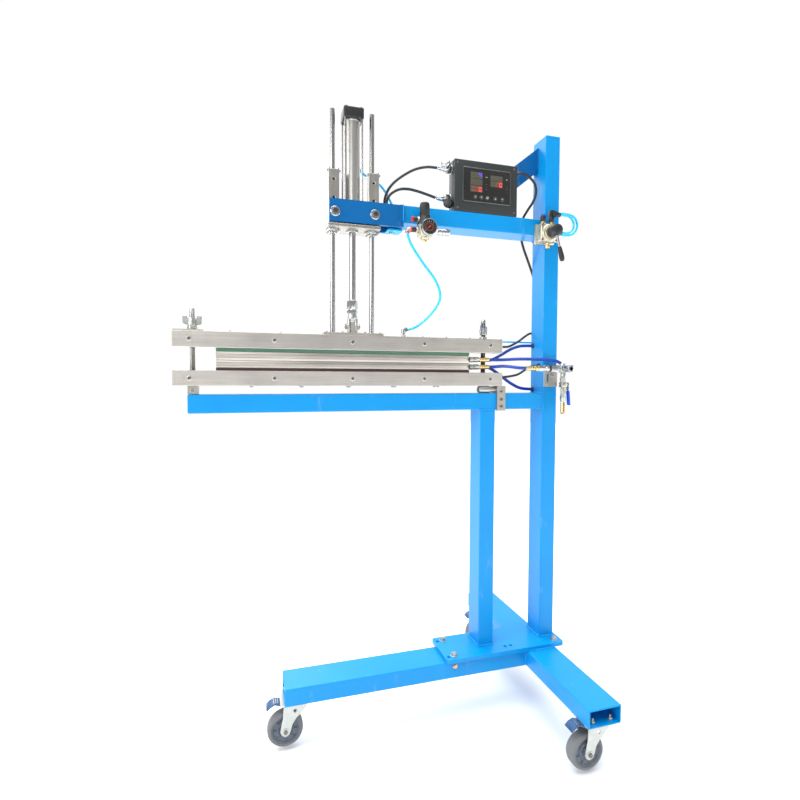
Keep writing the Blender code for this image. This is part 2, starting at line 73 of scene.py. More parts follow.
# Camera, lights and world; the floor is laid at the end
def setStage():
    look = {"place": (-0.7023, -1.1446, 0.8367), "tilt": 87.74, "roll": -0.19, "pan": -16.54, "lens": 22.72}
    data = bpy.data.cameras.new("studioCamera")
    data.lens, data.sensor_width, data.clip_end = look["lens"], 36, 60
    camera = bpy.data.objects.new("studioCamera", data)
    scene.collection.objects.link(camera)
    camera.location = home + Vector(look["place"])
    camera.rotation_euler = [math.radians(look[turn]) for turn in ("tilt", "roll", "pan")]
    scene.camera = camera

    lamps = {
        "keyLamp": {"place": (-2.6, -0.9, 1.9), "aim": (-0.1, 0, 0.7), "size": 1.2, "power": 40},
        "frontLamp": {"place": (-1.3, -2.4, 1.9), "aim": (-0.2, 0, 0.8), "size": 1.0, "power": 8},
        "rightLamp": {"place": (2.6, -1.4, 0.9), "aim": (0, 0, 0.8), "size": 0.8, "power": 12},
        "backLamp": {"place": (-0.6, 2.6, 2.4), "aim": (0, 0, 0.7), "size": 2.0, "power": 26},
    }
    for name, lamp in lamps.items():
        light = bpy.data.lights.new(name, "AREA")
        light.size, light.energy = lamp["size"], lamp["power"]
        holder = bpy.data.objects.new(name, light)
        scene.collection.objects.link(holder)
        holder.location = lamp["place"]
        aim = Vector(lamp["aim"]) - Vector(lamp["place"])
        holder.rotation_euler = aim.to_track_quat("-Z", "Y").to_euler()
    light = bpy.data.lights.new("skySun", "SUN")
    light.energy, light.angle = 4.2, math.radians(60)
    holder = bpy.data.objects.new("skySun", light)
    scene.collection.objects.link(holder)
    holder.rotation_euler = (math.radians(4), math.radians(-8), 0)
    scene.view_settings.view_transform = "Standard"


def setWorld():  # white ahead of the camera, darker to the sides and behind it, so that metal has edges
    world = bpy.data.worlds.new("studioRoom")
    scene.world = world
    world.use_nodes = True
    tree = Finish("room", world.node_tree)
    way = tree.node("ShaderNodeTexCoord", out="Generated")
    ahead = tree.node("ShaderNodeVectorMath", {"operation": "DOT_PRODUCT"}, {0: way, 1: (0.285, 0.958, 0)},
                      out="Value")
    level = tree.ramp(ahead, [(0.12, 0.42), (0.52, 1.0)])
    glow = tree.node("ShaderNodeBackground", sockets={"Color": level, "Strength": 1.02})
    tree.node("ShaderNodeOutputWorld", sockets={"Surface": glow}, out=None)


# Finishes
class Wire:  # a socket that sums can be written with
    def __init__(self, owner, socket):
        self.owner, self.socket = owner, socket

    def sum(self, operation, a, b):
        return self.owner.node("ShaderNodeMath", {"operation": operation}, {0: a, 1: b})

    def __add__(self, other):
        return self.sum("ADD", self, other)

    def __sub__(self, other):
        return self.sum("SUBTRACT", self, other)

    def __mul__(self, other):
        return self.sum("MULTIPLY", self, other)

    __radd__, __rmul__ = __add__, __mul__


class Finish:
    def __init__(self, name, tree=None):
        if tree is None:
            self.made = bpy.data.materials.new(name)
            self.made.use_nodes = True
            tree = self.made.node_tree
        self.tree = tree
        self.tree.nodes.clear()

    def node(self, kind, settings=None, sockets=None, out=0):
        fresh = self.tree.nodes.new(kind)
        for key, value in (settings or {}).items():
            if key == "stops":
                for spot, (position, level) in zip(fresh.color_ramp.elements, value):
                    spot.position, spot.color = position, (level, level, level, 1)
            else:
                setattr(fresh, key, value)
        for key, value in (sockets or {}).items():
            if isinstance(value, Wire):
                self.tree.links.new(value.socket, fresh.inputs[key])
            else:
                fresh.inputs[key].default_value = value
        return None if out is None else Wire(self, fresh.outputs[out])

    def ramp(self, level, stops):  # from one level to another between two values of a socket
        (low, first), (high, last) = stops
        share = (level - low) * (1 / (high - low))
        return self.node("ShaderNodeValToRGB", {"stops": [(0, first), (1, last)]}, {"Fac": share})

    def noise(self, scale, detail=2.0, stretch=(1, 1, 1), rough=0.5):
        spot = self.node("ShaderNodeTexCoord", out="Object")
        spot = self.node("ShaderNodeVectorMath", {"operation": "MULTIPLY"}, {0: spot, 1: stretch})
        return self.node("ShaderNodeTexNoise", None,
                         {"Vector": spot, "Scale": scale, "Detail": detail, "Roughness": rough})

    def blend(self, share, first, last):  # between two colours
        return self.node("ShaderNodeMix", {"data_type": "RGBA"}, {0: share, 6: first, 7: last}, out=2)

    def bump(self, height, distance, strength=0.5):
        return self.node("ShaderNodeBump", None, {"Height": height, "Distance": distance,
                                                  "Strength": strength})

    def shade(self, **sockets):
        named = {key.replace("_", " "): value for key, value in sockets.items()}
        named = {"Emission Color" if key == "Glow" else "Specular IOR Level" if key == "Shine" else key: value
                 for key, value in named.items()}
        shader = self.node("ShaderNodeBsdfPrincipled", None, named)
        self.node("ShaderNodeOutputMaterial", sockets={"Surface": shader}, out=None)
        return self.made


def paint(name, colour, shade, gloss=0.3):  # brushed-on machine enamel, with orange peel and scuffs
    mix = Finish(name)
    cloud, peel = mix.noise(7, 3), mix.noise(420, 1)
    scuffs = mix.ramp(mix.noise(34, 6, (1, 1, 0.35), 0.62), [(0.62, 0), (0.7, 1)])
    tint = mix.blend(cloud, colour, shade)
    worn = mix.blend(scuffs * 0.12, tint, [min(1, 0.35 + c * 0.65) for c in colour[:3]] + [1])
    return mix.shade(Base_Color=worn, Roughness=peel * 0.1 + cloud * 0.08 + scuffs * 0.16 + (gloss - 0.06),
                     Normal=mix.bump(peel, 0.0004, 0.35), Shine=0.32)


def metal(name, colour, rough, stretch=(1, 1, 1), grain=260, marks=0.16, dull=0.0, depth=0.0001,
          vary=0.14):
    mix = Finish(name)  # brushed along the axis whose stretch is least, with cloudy handling marks
    lines = mix.noise(grain, 3, stretch, 0.6)
    cloud = mix.noise(11, 4, (1, 1, 1), 0.6)
    fine = mix.noise(grain * 5, 1, stretch)
    darker = [c * (1 - marks) for c in colour[:3]] + [1]
    tint = mix.blend(mix.ramp(lines * 0.55 + cloud * 0.45, [(0.36, 0), (0.64, 1)]), darker, colour)
    return mix.shade(Base_Color=tint, Metallic=1.0 - dull,
                     Roughness=lines * vary + cloud * 0.1 + (rough - vary / 2 - 0.05),
                     Normal=mix.bump(fine * 0.5 + lines, depth, 0.25))


def moulded(name, colour, rough, grain=900, coat=0.0, depth=0.0002, marks=0.25):  # plastic, rubber or a hose
    mix = Finish(name)
    pits, cloud = mix.noise(grain, 2), mix.noise(16, 4, (1, 1, 1), 0.6)
    lighter = [min(1, c * (1 + marks) + 0.004) for c in colour[:3]] + [1]
    return mix.shade(Base_Color=mix.blend(cloud, colour, lighter),
                     Roughness=pits * 0.12 + cloud * 0.1 + (rough - 0.1),
                     Normal=mix.bump(pits, depth, 0.4), Coat_Weight=coat, Coat_Roughness=0.08)


def lit(name, colour, power):  # a lamp segment behind smoked glass
    mix = Finish(name)
    glow = mix.blend(mix.noise(600, 2) * 0.3, colour, [c * 0.7 for c in colour[:3]] + [1])
    return mix.shade(Base_Color=glow, Glow=glow, Emission_Strength=power, Roughness=0.3)


setStage()
setWorld()
bluePaint = paint("bluePaint", (0.0, 0.225, 0.6, 1), (0.0, 0.285, 0.66, 1))
# a darker copy of the frame's blue paint: painted shade on the diagonal brace, its welds and the head yoke
paintedShadeBlue = paint("paintedShadeBlue", (0.0, 0.098, 0.31, 1), (0.0, 0.12, 0.35, 1))
# a lighter, more cyan copy of the frame's blue paint: painted highlight on the tab under the arm
paintedHighlightBlue = paint("paintedHighlightBlue", (0.0, 0.36, 0.7, 1), (0.0, 0.4, 0.74, 1))
railMetal = metal("railMetal", (0.7, 0.665, 0.62, 1), 0.34, (0.04, 1, 1.6))
barMetal = metal("barMetal", (0.66, 0.62, 0.565, 1), 0.38, (0.03, 1, 2.4), marks=0.2)
blockMetal = metal("blockMetal", (0.5, 0.485, 0.445, 1), 0.4, (1, 1, 0.12))
tubeMetal = metal("tubeMetal", (0.6, 0.59, 0.56, 1), 0.32, (1, 1, 0.1), 60, 0.06, depth=0.00001, vary=0.04)
rodSteel = metal("rodSteel", (0.46, 0.455, 0.445, 1), 0.24, (1, 1, 0.1), 50, 0.06, depth=0.00001, vary=0.04)
chrome = metal("chrome", (0.55, 0.56, 0.57, 1), 0.22, grain=60, marks=0.08, depth=0.00001, vary=0.04)
zinc = metal("zinc", (0.52, 0.54, 0.51, 1), 0.36, grain=90, marks=0.18, depth=0.00004, vary=0.08)
darkSteel = metal("darkSteel", (0.2, 0.2, 0.2, 1), 0.4)
brass = metal("brass", (0.8, 0.6, 0.28, 1), 0.26, marks=0.2)
copper = metal("copper", (0.85, 0.42, 0.2, 1), 0.28, marks=0.25)
castMetal = metal("castMetal", (0.62, 0.57, 0.43, 1), 0.36, grain=420, marks=0.2, dull=0.25)
boxPaint = moulded("boxPaint", (0.017, 0.021, 0.021, 1), 0.46, 700, 0.05, 0.0003)
blackPlastic = moulded("blackPlastic", (0.01, 0.011, 0.012, 1), 0.42, 800)
# matte black plugs and discs set into holes and bores: painted shade for their dark insides
holeShade = moulded("paintedHoleShade", (0.004, 0.004, 0.005, 1), 0.7)
panelGlass = moulded("panelGlass", (0.006, 0.006, 0.007, 1), 0.2, coat=0.6, depth=0.00003)
filmGrey = moulded("filmGrey", (0.06, 0.058, 0.04, 1), 0.3, coat=0.2, depth=0.00003)
greenInsulation = moulded("greenInsulation", (0.06, 0.165, 0.105, 1), 0.5, 500)
darkInsulation = moulded("darkInsulation", (0.05, 0.026, 0.022, 1), 0.5, 500)
tread = moulded("treadRubber", (0.13, 0.135, 0.14, 1), 0.62, 500, depth=0.0004)
hubPlastic = moulded("hubPlastic", (0.085, 0.105, 0.135, 1), 0.4, 600, 0.1)
pedalPaint = moulded("pedalPaint", (0.012, 0.06, 0.16, 1), 0.35, 600, 0.25)
blueHose = moulded("blueHose", (0.002, 0.04, 0.34, 1), 0.3, 300, 0.15, 0.00005)
cyanTube = moulded("cyanTube", (0.0, 0.47, 0.8, 1), 0.26, 300, 0.5, 0.0001)
blackCable = moulded("blackCable", (0.009, 0.011, 0.016, 1), 0.38, 400, 0.15)
redPlastic = moulded("redPlastic", (0.56, 0.012, 0.01, 1), 0.36, 500, 0.2)
bluePlastic = moulded("bluePlastic", (0.004, 0.07, 0.52, 1), 0.32, 500, 0.3)
markWhite = moulded("markWhite", (0.52, 0.52, 0.5, 1), 0.4)
violetGlow = lit("violetGlow", (0.1, 0.035, 1.0, 1), 1.6)
redGlow = lit("redGlow", (1.0, 0.035, 0.06, 1), 1.3)
dimGlow = lit("dimGlow", (0.3, 0.05, 0.03, 1), 0.3)
print("stage and finishes are ready")


# Shapes
def hexForm(angle, along):
    return math.cos(math.pi / 6) / math.cos(angle % (math.pi / 3) - math.pi / 6)


def ribbed(count, depth):
    return lambda angle, along: 1 - depth * (0.5 + 0.5 * math.cos(count * angle))


def threaded(pitch, depth):
    return lambda angle, along: 1 - depth * abs(2 * ((along / pitch - angle / math.tau) % 1) - 1)


def ringPoints(x, y, radius, sides=20):
    return [(x + radius * math.cos(k * math.tau / sides), y + radius * math.sin(k * math.tau / sides))
            for k in range(sides)]


def roundedBox(x, y, corner, steps=5):  # the outline of a plate with rounded corners
    spots = []
    for cornerX, cornerY, start in ((x[1] - corner, y[1] - corner, 0), (x[0] + corner, y[1] - corner, 90),
                                    (x[0] + corner, y[0] + corner, 180), (x[1] - corner, y[0] + corner, 270)):
        for k in range(steps + 1):
            angle = math.radians(start + 90 * k / steps)
            spots.append((cornerX + corner * math.cos(angle), cornerY + corner * math.sin(angle)))
    return spots


def evenRoute(points, spacing):  # even points along a Catmull-Rom curve
    spots = [Vector(p) for p in points]
    ends = [2 * spots[0] - spots[1]] + spots + [2 * spots[-1] - spots[-2]]
    fine = []
    for a, b, c, d in zip(ends, ends[1:], ends[2:], ends[3:]):
        for k in range(24):
            t = k / 24
            fine.append(0.5 * (2 * b + (c - a) * t + (2 * a - 5 * b + 4 * c - d) * t * t
                               + (3 * b - a - 3 * c + d) * t ** 3))
    fine.append(spots[-1])
    reach = [0.0]
    for a, b in zip(fine, fine[1:]):
        reach.append(reach[-1] + (b - a).length)
    count, even, i = max(3, round(reach[-1] / spacing)), [], 0
    for k in range(count + 1):
        goal = reach[-1] * k / count
        while i < len(fine) - 2 and reach[i + 1] < goal:
            i += 1
        even.append(fine[i].lerp(fine[i + 1], min(1, (goal - reach[i]) / (reach[i + 1] - reach[i]))))
    return even


class Shape:  # a piece in the making: solids are added one by one, each in its own finish
    def __init__(self, name, body="frame"):
        self.name, self.body = name, body
        self.mesh, self.coats = bmesh.new(), []

    def join(self, part, coat):
        if coat not in self.coats:
            self.coats.append(coat)
        bmesh.ops.recalc_face_normals(part, faces=part.faces)
        for face in part.faces:
            face.material_index = self.coats.index(coat)
        data = bpy.data.meshes.new("part")
        part.to_mesh(data)
        part.free()
        self.mesh.from_mesh(data)
        bpy.data.meshes.remove(data)
        return self

    def block(self, coat, x, y, z, bevel=0.001, lean=None, segments=2):
        part = bmesh.new()
        low, high = Vector((x[0], y[0], z[0])), Vector((x[1], y[1], z[1]))
        centre = (low + high) / 2
        bmesh.ops.create_cube(part, size=1, matrix=Matrix.LocRotScale(centre, None, high - low))
        if bevel:
            bmesh.ops.bevel(part, geom=part.edges[:], offset=bevel, segments=segments, profile=0.5,
                            affect="EDGES",
                            clamp_overlap=True)
        if lean:
            axis, degrees, pivot = lean
            bmesh.ops.rotate(part, cent=pivot, verts=part.verts,
                             matrix=Matrix.Rotation(math.radians(degrees), 3, Vector(ways[axis])))
        return self.join(part, coat)

    def turned(self, coat, axis, start, profile, sides=24, closed=False):
        way = Vector(ways.get(axis, axis))
        place = Matrix.Translation(start) @ way.to_track_quat("Z", "Y").to_matrix().to_4x4()
        part, rings = bmesh.new(), []
        for along, radius, *form in profile:
            if radius <= 0:
                rings.append([part.verts.new(place @ Vector((0, 0, along)))])
                continue
            ring = []
            for k in range(sides):
                angle = math.tau * k / sides
                reach = radius * (form[0](angle, along) if form else 1)
                ring.append(part.verts.new(place @ Vector((reach * math.cos(angle), reach * math.sin(angle),
                    along))))
            rings.append(ring)
        for low, high in zip(rings, rings[1:] + rings[:1] if closed else rings[1:]):
            for k in range(sides):
                j = (k + 1) % sides
                corners = [low[k % len(low)], low[j % len(low)], high[j % len(high)], high[k % len(high)]]
                part.faces.new(list(dict.fromkeys(corners)))
        if not closed:
            for ring in (rings[0], rings[-1]):
                if len(ring) > 1:
                    part.faces.new(ring)
        return self.join(part, coat)

    def rod(self, coat, axis, start, length, radius, edge=0.0004, sides=24):  # a bar with eased ends
        return self.turned(coat, axis, start, [
            (0, radius - edge), (edge, radius), (length - edge, radius), (length, radius - edge)], sides)

    def disc(self, coat, axis, start, length, radius, sides=24):  # a bar with sharp ends
        return self.turned(coat, axis, start, [(0, radius), (length, radius), (length, 0)], sides)

    def plate(self, coat, outline, thickness, axis, start, holes=(), bevel=0.0004):
        part = bmesh.new()
        loops = [outline] + [ringPoints(*spot) if len(spot) == 3 else spot for spot in holes]
        for loop in loops:
            verts = [part.verts.new((a, b, 0)) for a, b in loop]
            for a, b in zip(verts, verts[1:] + verts[:1]):
                part.edges.new((a, b))
        bmesh.ops.triangle_fill(part, edges=part.edges[:], use_beauty=True)
        moved = bmesh.ops.extrude_face_region(part, geom=part.faces[:])["geom"]
        bmesh.ops.translate(part, vec=(0, 0, thickness), verts=[v for v in moved if isinstance(v,
            bmesh.types.BMVert)])
        bmesh.ops.recalc_face_normals(part, faces=part.faces)
        if bevel:
            sharp = [e for e in part.edges if e.is_manifold and e.calc_face_angle(0) > 1.2]
            bmesh.ops.bevel(part, geom=sharp, offset=bevel, segments=1, affect="EDGES", clamp_overlap=True)
        for vert in part.verts:
            a, b, c = vert.co
            c += start
            vert.co = {"z": (a, b, c), "y": (a, c, b), "x": (c, a, b)}[axis]
        return self.join(part, coat)

    def sweep(self, coat, points, radius,
              sides=12):  # a round bar along points, of one radius or one for each
        part, rings, spots = bmesh.new(), [], [Vector(p) for p in points]
        radii = radius if isinstance(radius, list) else [radius] * len(spots)
        across = None
        for k, spot in enumerate(spots):
            way = (spots[min(k + 1, len(spots) - 1)] - spots[max(k - 1, 0)]).normalized()
            if across is None:
                across = way.orthogonal().normalized()
            across = (across - way * across.dot(way)).normalized()
            other = way.cross(across)
            rings.append([part.verts.new(spot + radii[k] * (across * math.cos(a) + other * math.sin(a)))
                          for a in (math.tau * i / sides for i in range(sides))])
        for low, high in zip(rings, rings[1:]):
            for k in range(sides):
                j = (k + 1) % sides
                part.faces.new((low[k], low[j], high[j], high[k]))
        for ring in (rings[0], rings[-1]):
            part.faces.new(ring)
        return self.join(part, coat)

    def weld(self, coat, points, radius=0.0028):  # a bead of overlapping ripples along a joint
        for a, b in zip([Vector(p) for p in points], [Vector(p) for p in points[1:]]):
            count = max(4, round((b - a).length / (radius * 0.32)))
            spots, radii = [], []
            for k in range(count + 1):
                lift = dice.uniform(-0.08, 0.08) * radius
                spots.append(a.lerp(b, k / count) + Vector((lift, lift, lift)))
                radii.append(radius * (0.8 + 0.2 * abs(math.sin(k * 0.9)) + dice.uniform(-0.05, 0.05)))
            radii[0], radii[-1] = radius * 0.5, radius * 0.5
            self.sweep(coat, spots, radii, 8)
        return self

    def capScrew(self, coat, axis, start, head, height,
                 washer=0):  # a socket screw, on a washer if it has one
        way = Vector(ways[axis])
        if washer:
            self.turned(chrome, axis, start, [(0, washer), (0.001, washer), (0.0014, washer - 0.0005),
                                              (0.0014, head * 0.9)], 28)
            start = Vector(start) + way * 0.0014
        key = head * 0.58
        return self.turned(coat, axis, start, [
            (0, head), (height - 0.0006, head), (height, head - 0.0006), (height, key, hexForm),
            (height * 0.45, key, hexForm), (height * 0.45, 0)])

    def hexBolt(self, coat, axis, start, across, height,
                stub=0):  # a hexagon head or nut, with a thread past it
        corner = across / 2 / math.cos(math.pi / 6)
        self.turned(coat, axis, start, [(0, corner * 0.92), (height * 0.15, corner, hexForm),
                                        (height * 0.85, corner, hexForm), (height, corner * 0.86)])
        if stub:
            top = Vector(start) + Vector(ways[axis]) * height * 0.5
            self.thread(coat, axis, top, stub + height * 0.5, across * 0.3)
        return self

    def thread(self, coat, axis, start, length, radius, pitch=0.001):
        form, count = threaded(pitch, 0.11), max(4, round(length / pitch * 4))
        return self.turned(coat, axis, start, [(0, radius * 0.8)] + [
            (length * k / count, radius, form) for k in range(1, count)] + [(length, radius * 0.8)], 16)

    def done(self, replaces=(), slot=None, smooth=42):
        bmesh.ops.translate(self.mesh, vec=home, verts=self.mesh.verts)
        data = bpy.data.meshes.new(self.name)
        self.mesh.to_mesh(data)
        self.mesh.free()
        for coat in self.coats:
            data.materials.append(coat)
        data.shade_smooth()
        data.set_sharp_from_angle(angle=math.radians(smooth))
        piece = bpy.data.objects.new(self.name, data)
        scene.collection.objects.link(piece)
        if self.body:
            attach(piece, self.body)
        if replaces:
            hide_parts(*([replaces] if isinstance(replaces, str) else replaces))
        return piece


# Cords
def makeCords():
    waterHose = {"radius": 0.004, "coat": blueHose, "slot": "blue_hose"}
    airTube = {"radius": 0.0029, "coat": cyanTube, "slot": "cyan_tube"}
    cable = {"radius": 0.0032, "coat": blackCable, "slot": "black_cable"}
    cords = {
        "jaw_air_tube": {**airTube, "radius": 0.003, "cad": True, "slides": "far", "route": [
            (-0.3565, -0.036, 1.1715), (-0.3545, -0.036, 1.162), (-0.344, -0.034, 1.141),
            (-0.3163, -0.031, 1.1053), (-0.2865, -0.03, 1.0696), (-0.273, -0.028, 1.0357),
            (-0.279, -0.02, 1.01), (-0.298, -0.005, 0.983), (-0.32, 0.012, 0.964), (-0.34, 0.02, 0.957)]},
        "upper_water_hose_rear": {**waterHose, "cad": True, "slides": "near", "route": [
            (-0.1275, 0.035, 0.888), (-0.1075, 0.035, 0.8892), (-0.08, 0.036, 0.902), (-0.052, 0.038, 0.917),
            (-0.025, 0.04, 0.926), (0.0, 0.041, 0.928), (0.0154, 0.041, 0.928)]},
        "upper_water_hose_front": {**waterHose, "cad": True, "slides": "near", "route": [
            (-0.1275, 0.005, 0.888), (-0.1, 0.003, 0.8883), (-0.05, -0.01, 0.8905), (0.0, -0.022, 0.89),
            (0.025, -0.027, 0.8885), (0.042, -0.029, 0.886), (0.054, -0.03, 0.8805)]},
        "lower_water_hose_front": {**waterHose, "cad": True, "route": [
            (-0.1275, 0.005, 0.87), (-0.112, 0.004, 0.8708), (-0.096, -0.006, 0.8722),
            (-0.082, -0.022, 0.8705), (-0.068, -0.033, 0.868), (-0.0495, -0.035, 0.867)]},
        "lower_water_hose_rear": {**waterHose, "cad": True, "route": [
            (-0.1275, 0.035, 0.87), (-0.112, 0.035, 0.868), (-0.092, 0.036, 0.857), (-0.072, 0.038, 0.844),
            (-0.048, 0.04, 0.829), (-0.02, 0.041, 0.817), (0.0154, 0.041, 0.8135)]},
        "upper_heater_cable": {**cable, "cad": True, "route": [
            (-0.268, 0.01, 1.345), (-0.295, 0.011, 1.344), (-0.325, 0.013, 1.335), (-0.356, 0.016, 1.316),
            (-0.38, 0.018, 1.294), (-0.393, 0.02, 1.27), (-0.396, 0.02, 1.245), (-0.39, 0.02, 1.23),
            (-0.38, 0.02, 1.223), (-0.3695, 0.02, 1.222)]},
        "lower_heater_cable": {**cable, "route": [
            (-0.271, 0.015, 1.276), (-0.295, 0.013, 1.281), (-0.319, 0.011, 1.285), (-0.342, 0.009, 1.2865),
            (-0.364, 0.007, 1.2825), (-0.384, 0.006, 1.27), (-0.394, 0.005, 1.253), (-0.393, 0.005, 1.236),
            (-0.384, 0.005, 1.225), (-0.3695, 0.005, 1.2205)]},
        "box_power_cable": {**cable, "route": [
            (-0.054, 0.012, 1.3555), (-0.04, 0.012, 1.36), (-0.021, 0.012, 1.354), (-0.003, 0.013, 1.34),
            (0.004, 0.016, 1.32), (0.0015, 0.024, 1.298), (-0.006, 0.037, 1.28), (-0.013, 0.05, 1.26),
            (-0.015, 0.0565, 1.235), (-0.013, 0.057, 1.21), (-0.006, 0.057, 1.186), (0.004, 0.057, 1.162),
            (0.016, 0.057, 1.134), (0.027, 0.057, 1.106), (0.034, 0.0575, 1.078), (0.036, 0.058, 1.056)]},
        "valve_tube_outer": {**airTube, "route": [
            (0.033, -0.028, 1.2547), (0.052, -0.028, 1.255), (0.0725, -0.028, 1.2545),
            (0.0851, -0.028, 1.2511), (0.0943, -0.0275, 1.2419), (0.0977, -0.027, 1.2293),
            (0.0943, -0.026, 1.2167), (0.0851, -0.025, 1.2075), (0.0725, -0.024, 1.2041),
            (0.058, -0.024, 1.2038), (0.046, -0.024, 1.204)]},
        "valve_tube_inner": {**airTube, "route": [
            (0.04, -0.037, 1.248), (0.059, -0.037, 1.2482), (0.07, -0.037, 1.2451), (0.0778, -0.037, 1.2373),
            (0.0807, -0.037, 1.2265), (0.0778, -0.037, 1.2157), (0.07, -0.037, 1.2079),
            (0.059, -0.037, 1.2048), (0.046, -0.037, 1.205)]},
        "upper_jaw_power_cable": {**cable, "radius": 0.003, "slides": "near", "route": [
            (-0.1, 0.02, 0.923), (-0.0865, 0.022, 0.9225), (-0.064, 0.03, 0.9235), (-0.04, 0.043, 0.931),
            (-0.018, 0.053, 0.941), (-0.001, 0.057, 0.952), (0.014, 0.057, 0.961), (0.029, 0.057, 0.964)]},
        "lower_jaw_power_cable": {**cable, "radius": 0.003, "route": [
            (-0.1, 0.016, 0.843), (-0.084, 0.014, 0.845), (-0.068, 0.012, 0.847), (-0.045, 0.011, 0.852),
            (-0.027, 0.011, 0.862), (-0.008, 0.011, 0.872), (0.015, 0.011, 0.876)]},
        "jaw_return_tube": {**airTube, "radius": 0.0024, "slides": "near", "route": [
            (-0.1, 0.04, 0.933), (-0.085, 0.042, 0.9355), (-0.06, 0.047, 0.937), (-0.035, 0.052, 0.9375),
            (-0.01, 0.056, 0.9375), (0.012, 0.0565, 0.9375), (0.03, 0.0565, 0.9375)]},
        "cylinder_rear_tube": {**airTube, "route": [
            (-0.4728, 0.061, 1.435), (-0.4728, 0.068, 1.42), (-0.47, 0.067, 1.395), (-0.46, 0.064, 1.362),
            (-0.441, 0.062, 1.333), (-0.417, 0.061, 1.319), (-0.395, 0.0605, 1.306), (-0.378, 0.06, 1.285),
            (-0.365, 0.058, 1.26), (-0.348, 0.055, 1.24), (-0.32, 0.054, 1.233), (-0.26, 0.0535, 1.232),
            (-0.18, 0.0535, 1.232), (-0.1, 0.0535, 1.232), (-0.052, 0.0535, 1.232)]},
    }
    for name, cord in cords.items():
        route = evenRoute(cord["route"], cord["radius"] * 0.9)
        shape = Shape(name.replace("_", "") + "_run", None).sweep(cord["coat"], route, cord["radius"], 16)
        piece = shape.done(slot=cord["slot"], smooth=60)
        path = [home + spot for spot in route]
        if "slides" in cord:  # cords that run to the jaw: their near and far ends are picked out, and the piece is left unparented with its placing baked into the mesh
            near, far = (path[-1], path[0]) if cord["slides"] == "near" else (path[0], path[-1])
            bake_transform(piece)
        else:
            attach(piece, "frame")
        if "cad" in cord:
            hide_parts(name)
        sum((b - a).length for a, b in zip(path, path[1:]))
        cord["radius"] * 2
    print("cords are laid:", len(cords))


makeCords()


def coatNodes():
    coats = {
        bluePaint: ["base_leg_tube", "base_cross_tube", "base_plate", "tall_column", "front_post",
                    "lower_beam",
                    "upper_arm"],
        # the brace and the yoke take the darker blue, as painted shade
        paintedShadeBlue: ["diagonal_brace", "head_yoke"],
        blockMetal: ["head_plate", "left_support_block", "right_support_bracket"],
        railMetal: ["lower_front_rail", "lower_rear_rail", "upper_front_rail", "upper_rear_rail",
                    "lower_jaw_core",
                    "upper_jaw_core", "jaw_top_plate"],
        tubeMetal: ["cylinder_barrel"],
        rodSteel: ["guide_rod_left", "guide_rod_right", "piston_rod", "clevis_pin"],
        greenInsulation: ["upper_insulation_strip"],
        darkInsulation: ["lower_insulation_strip"],
    }
    for coat, names in coats.items():
        for name in names:
            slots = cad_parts[name].data.materials
            for k in range(max(1, len(slots))):
                if slots:
                    slots[k] = coat
                else:
                    slots.append(coat)


coatNodes()


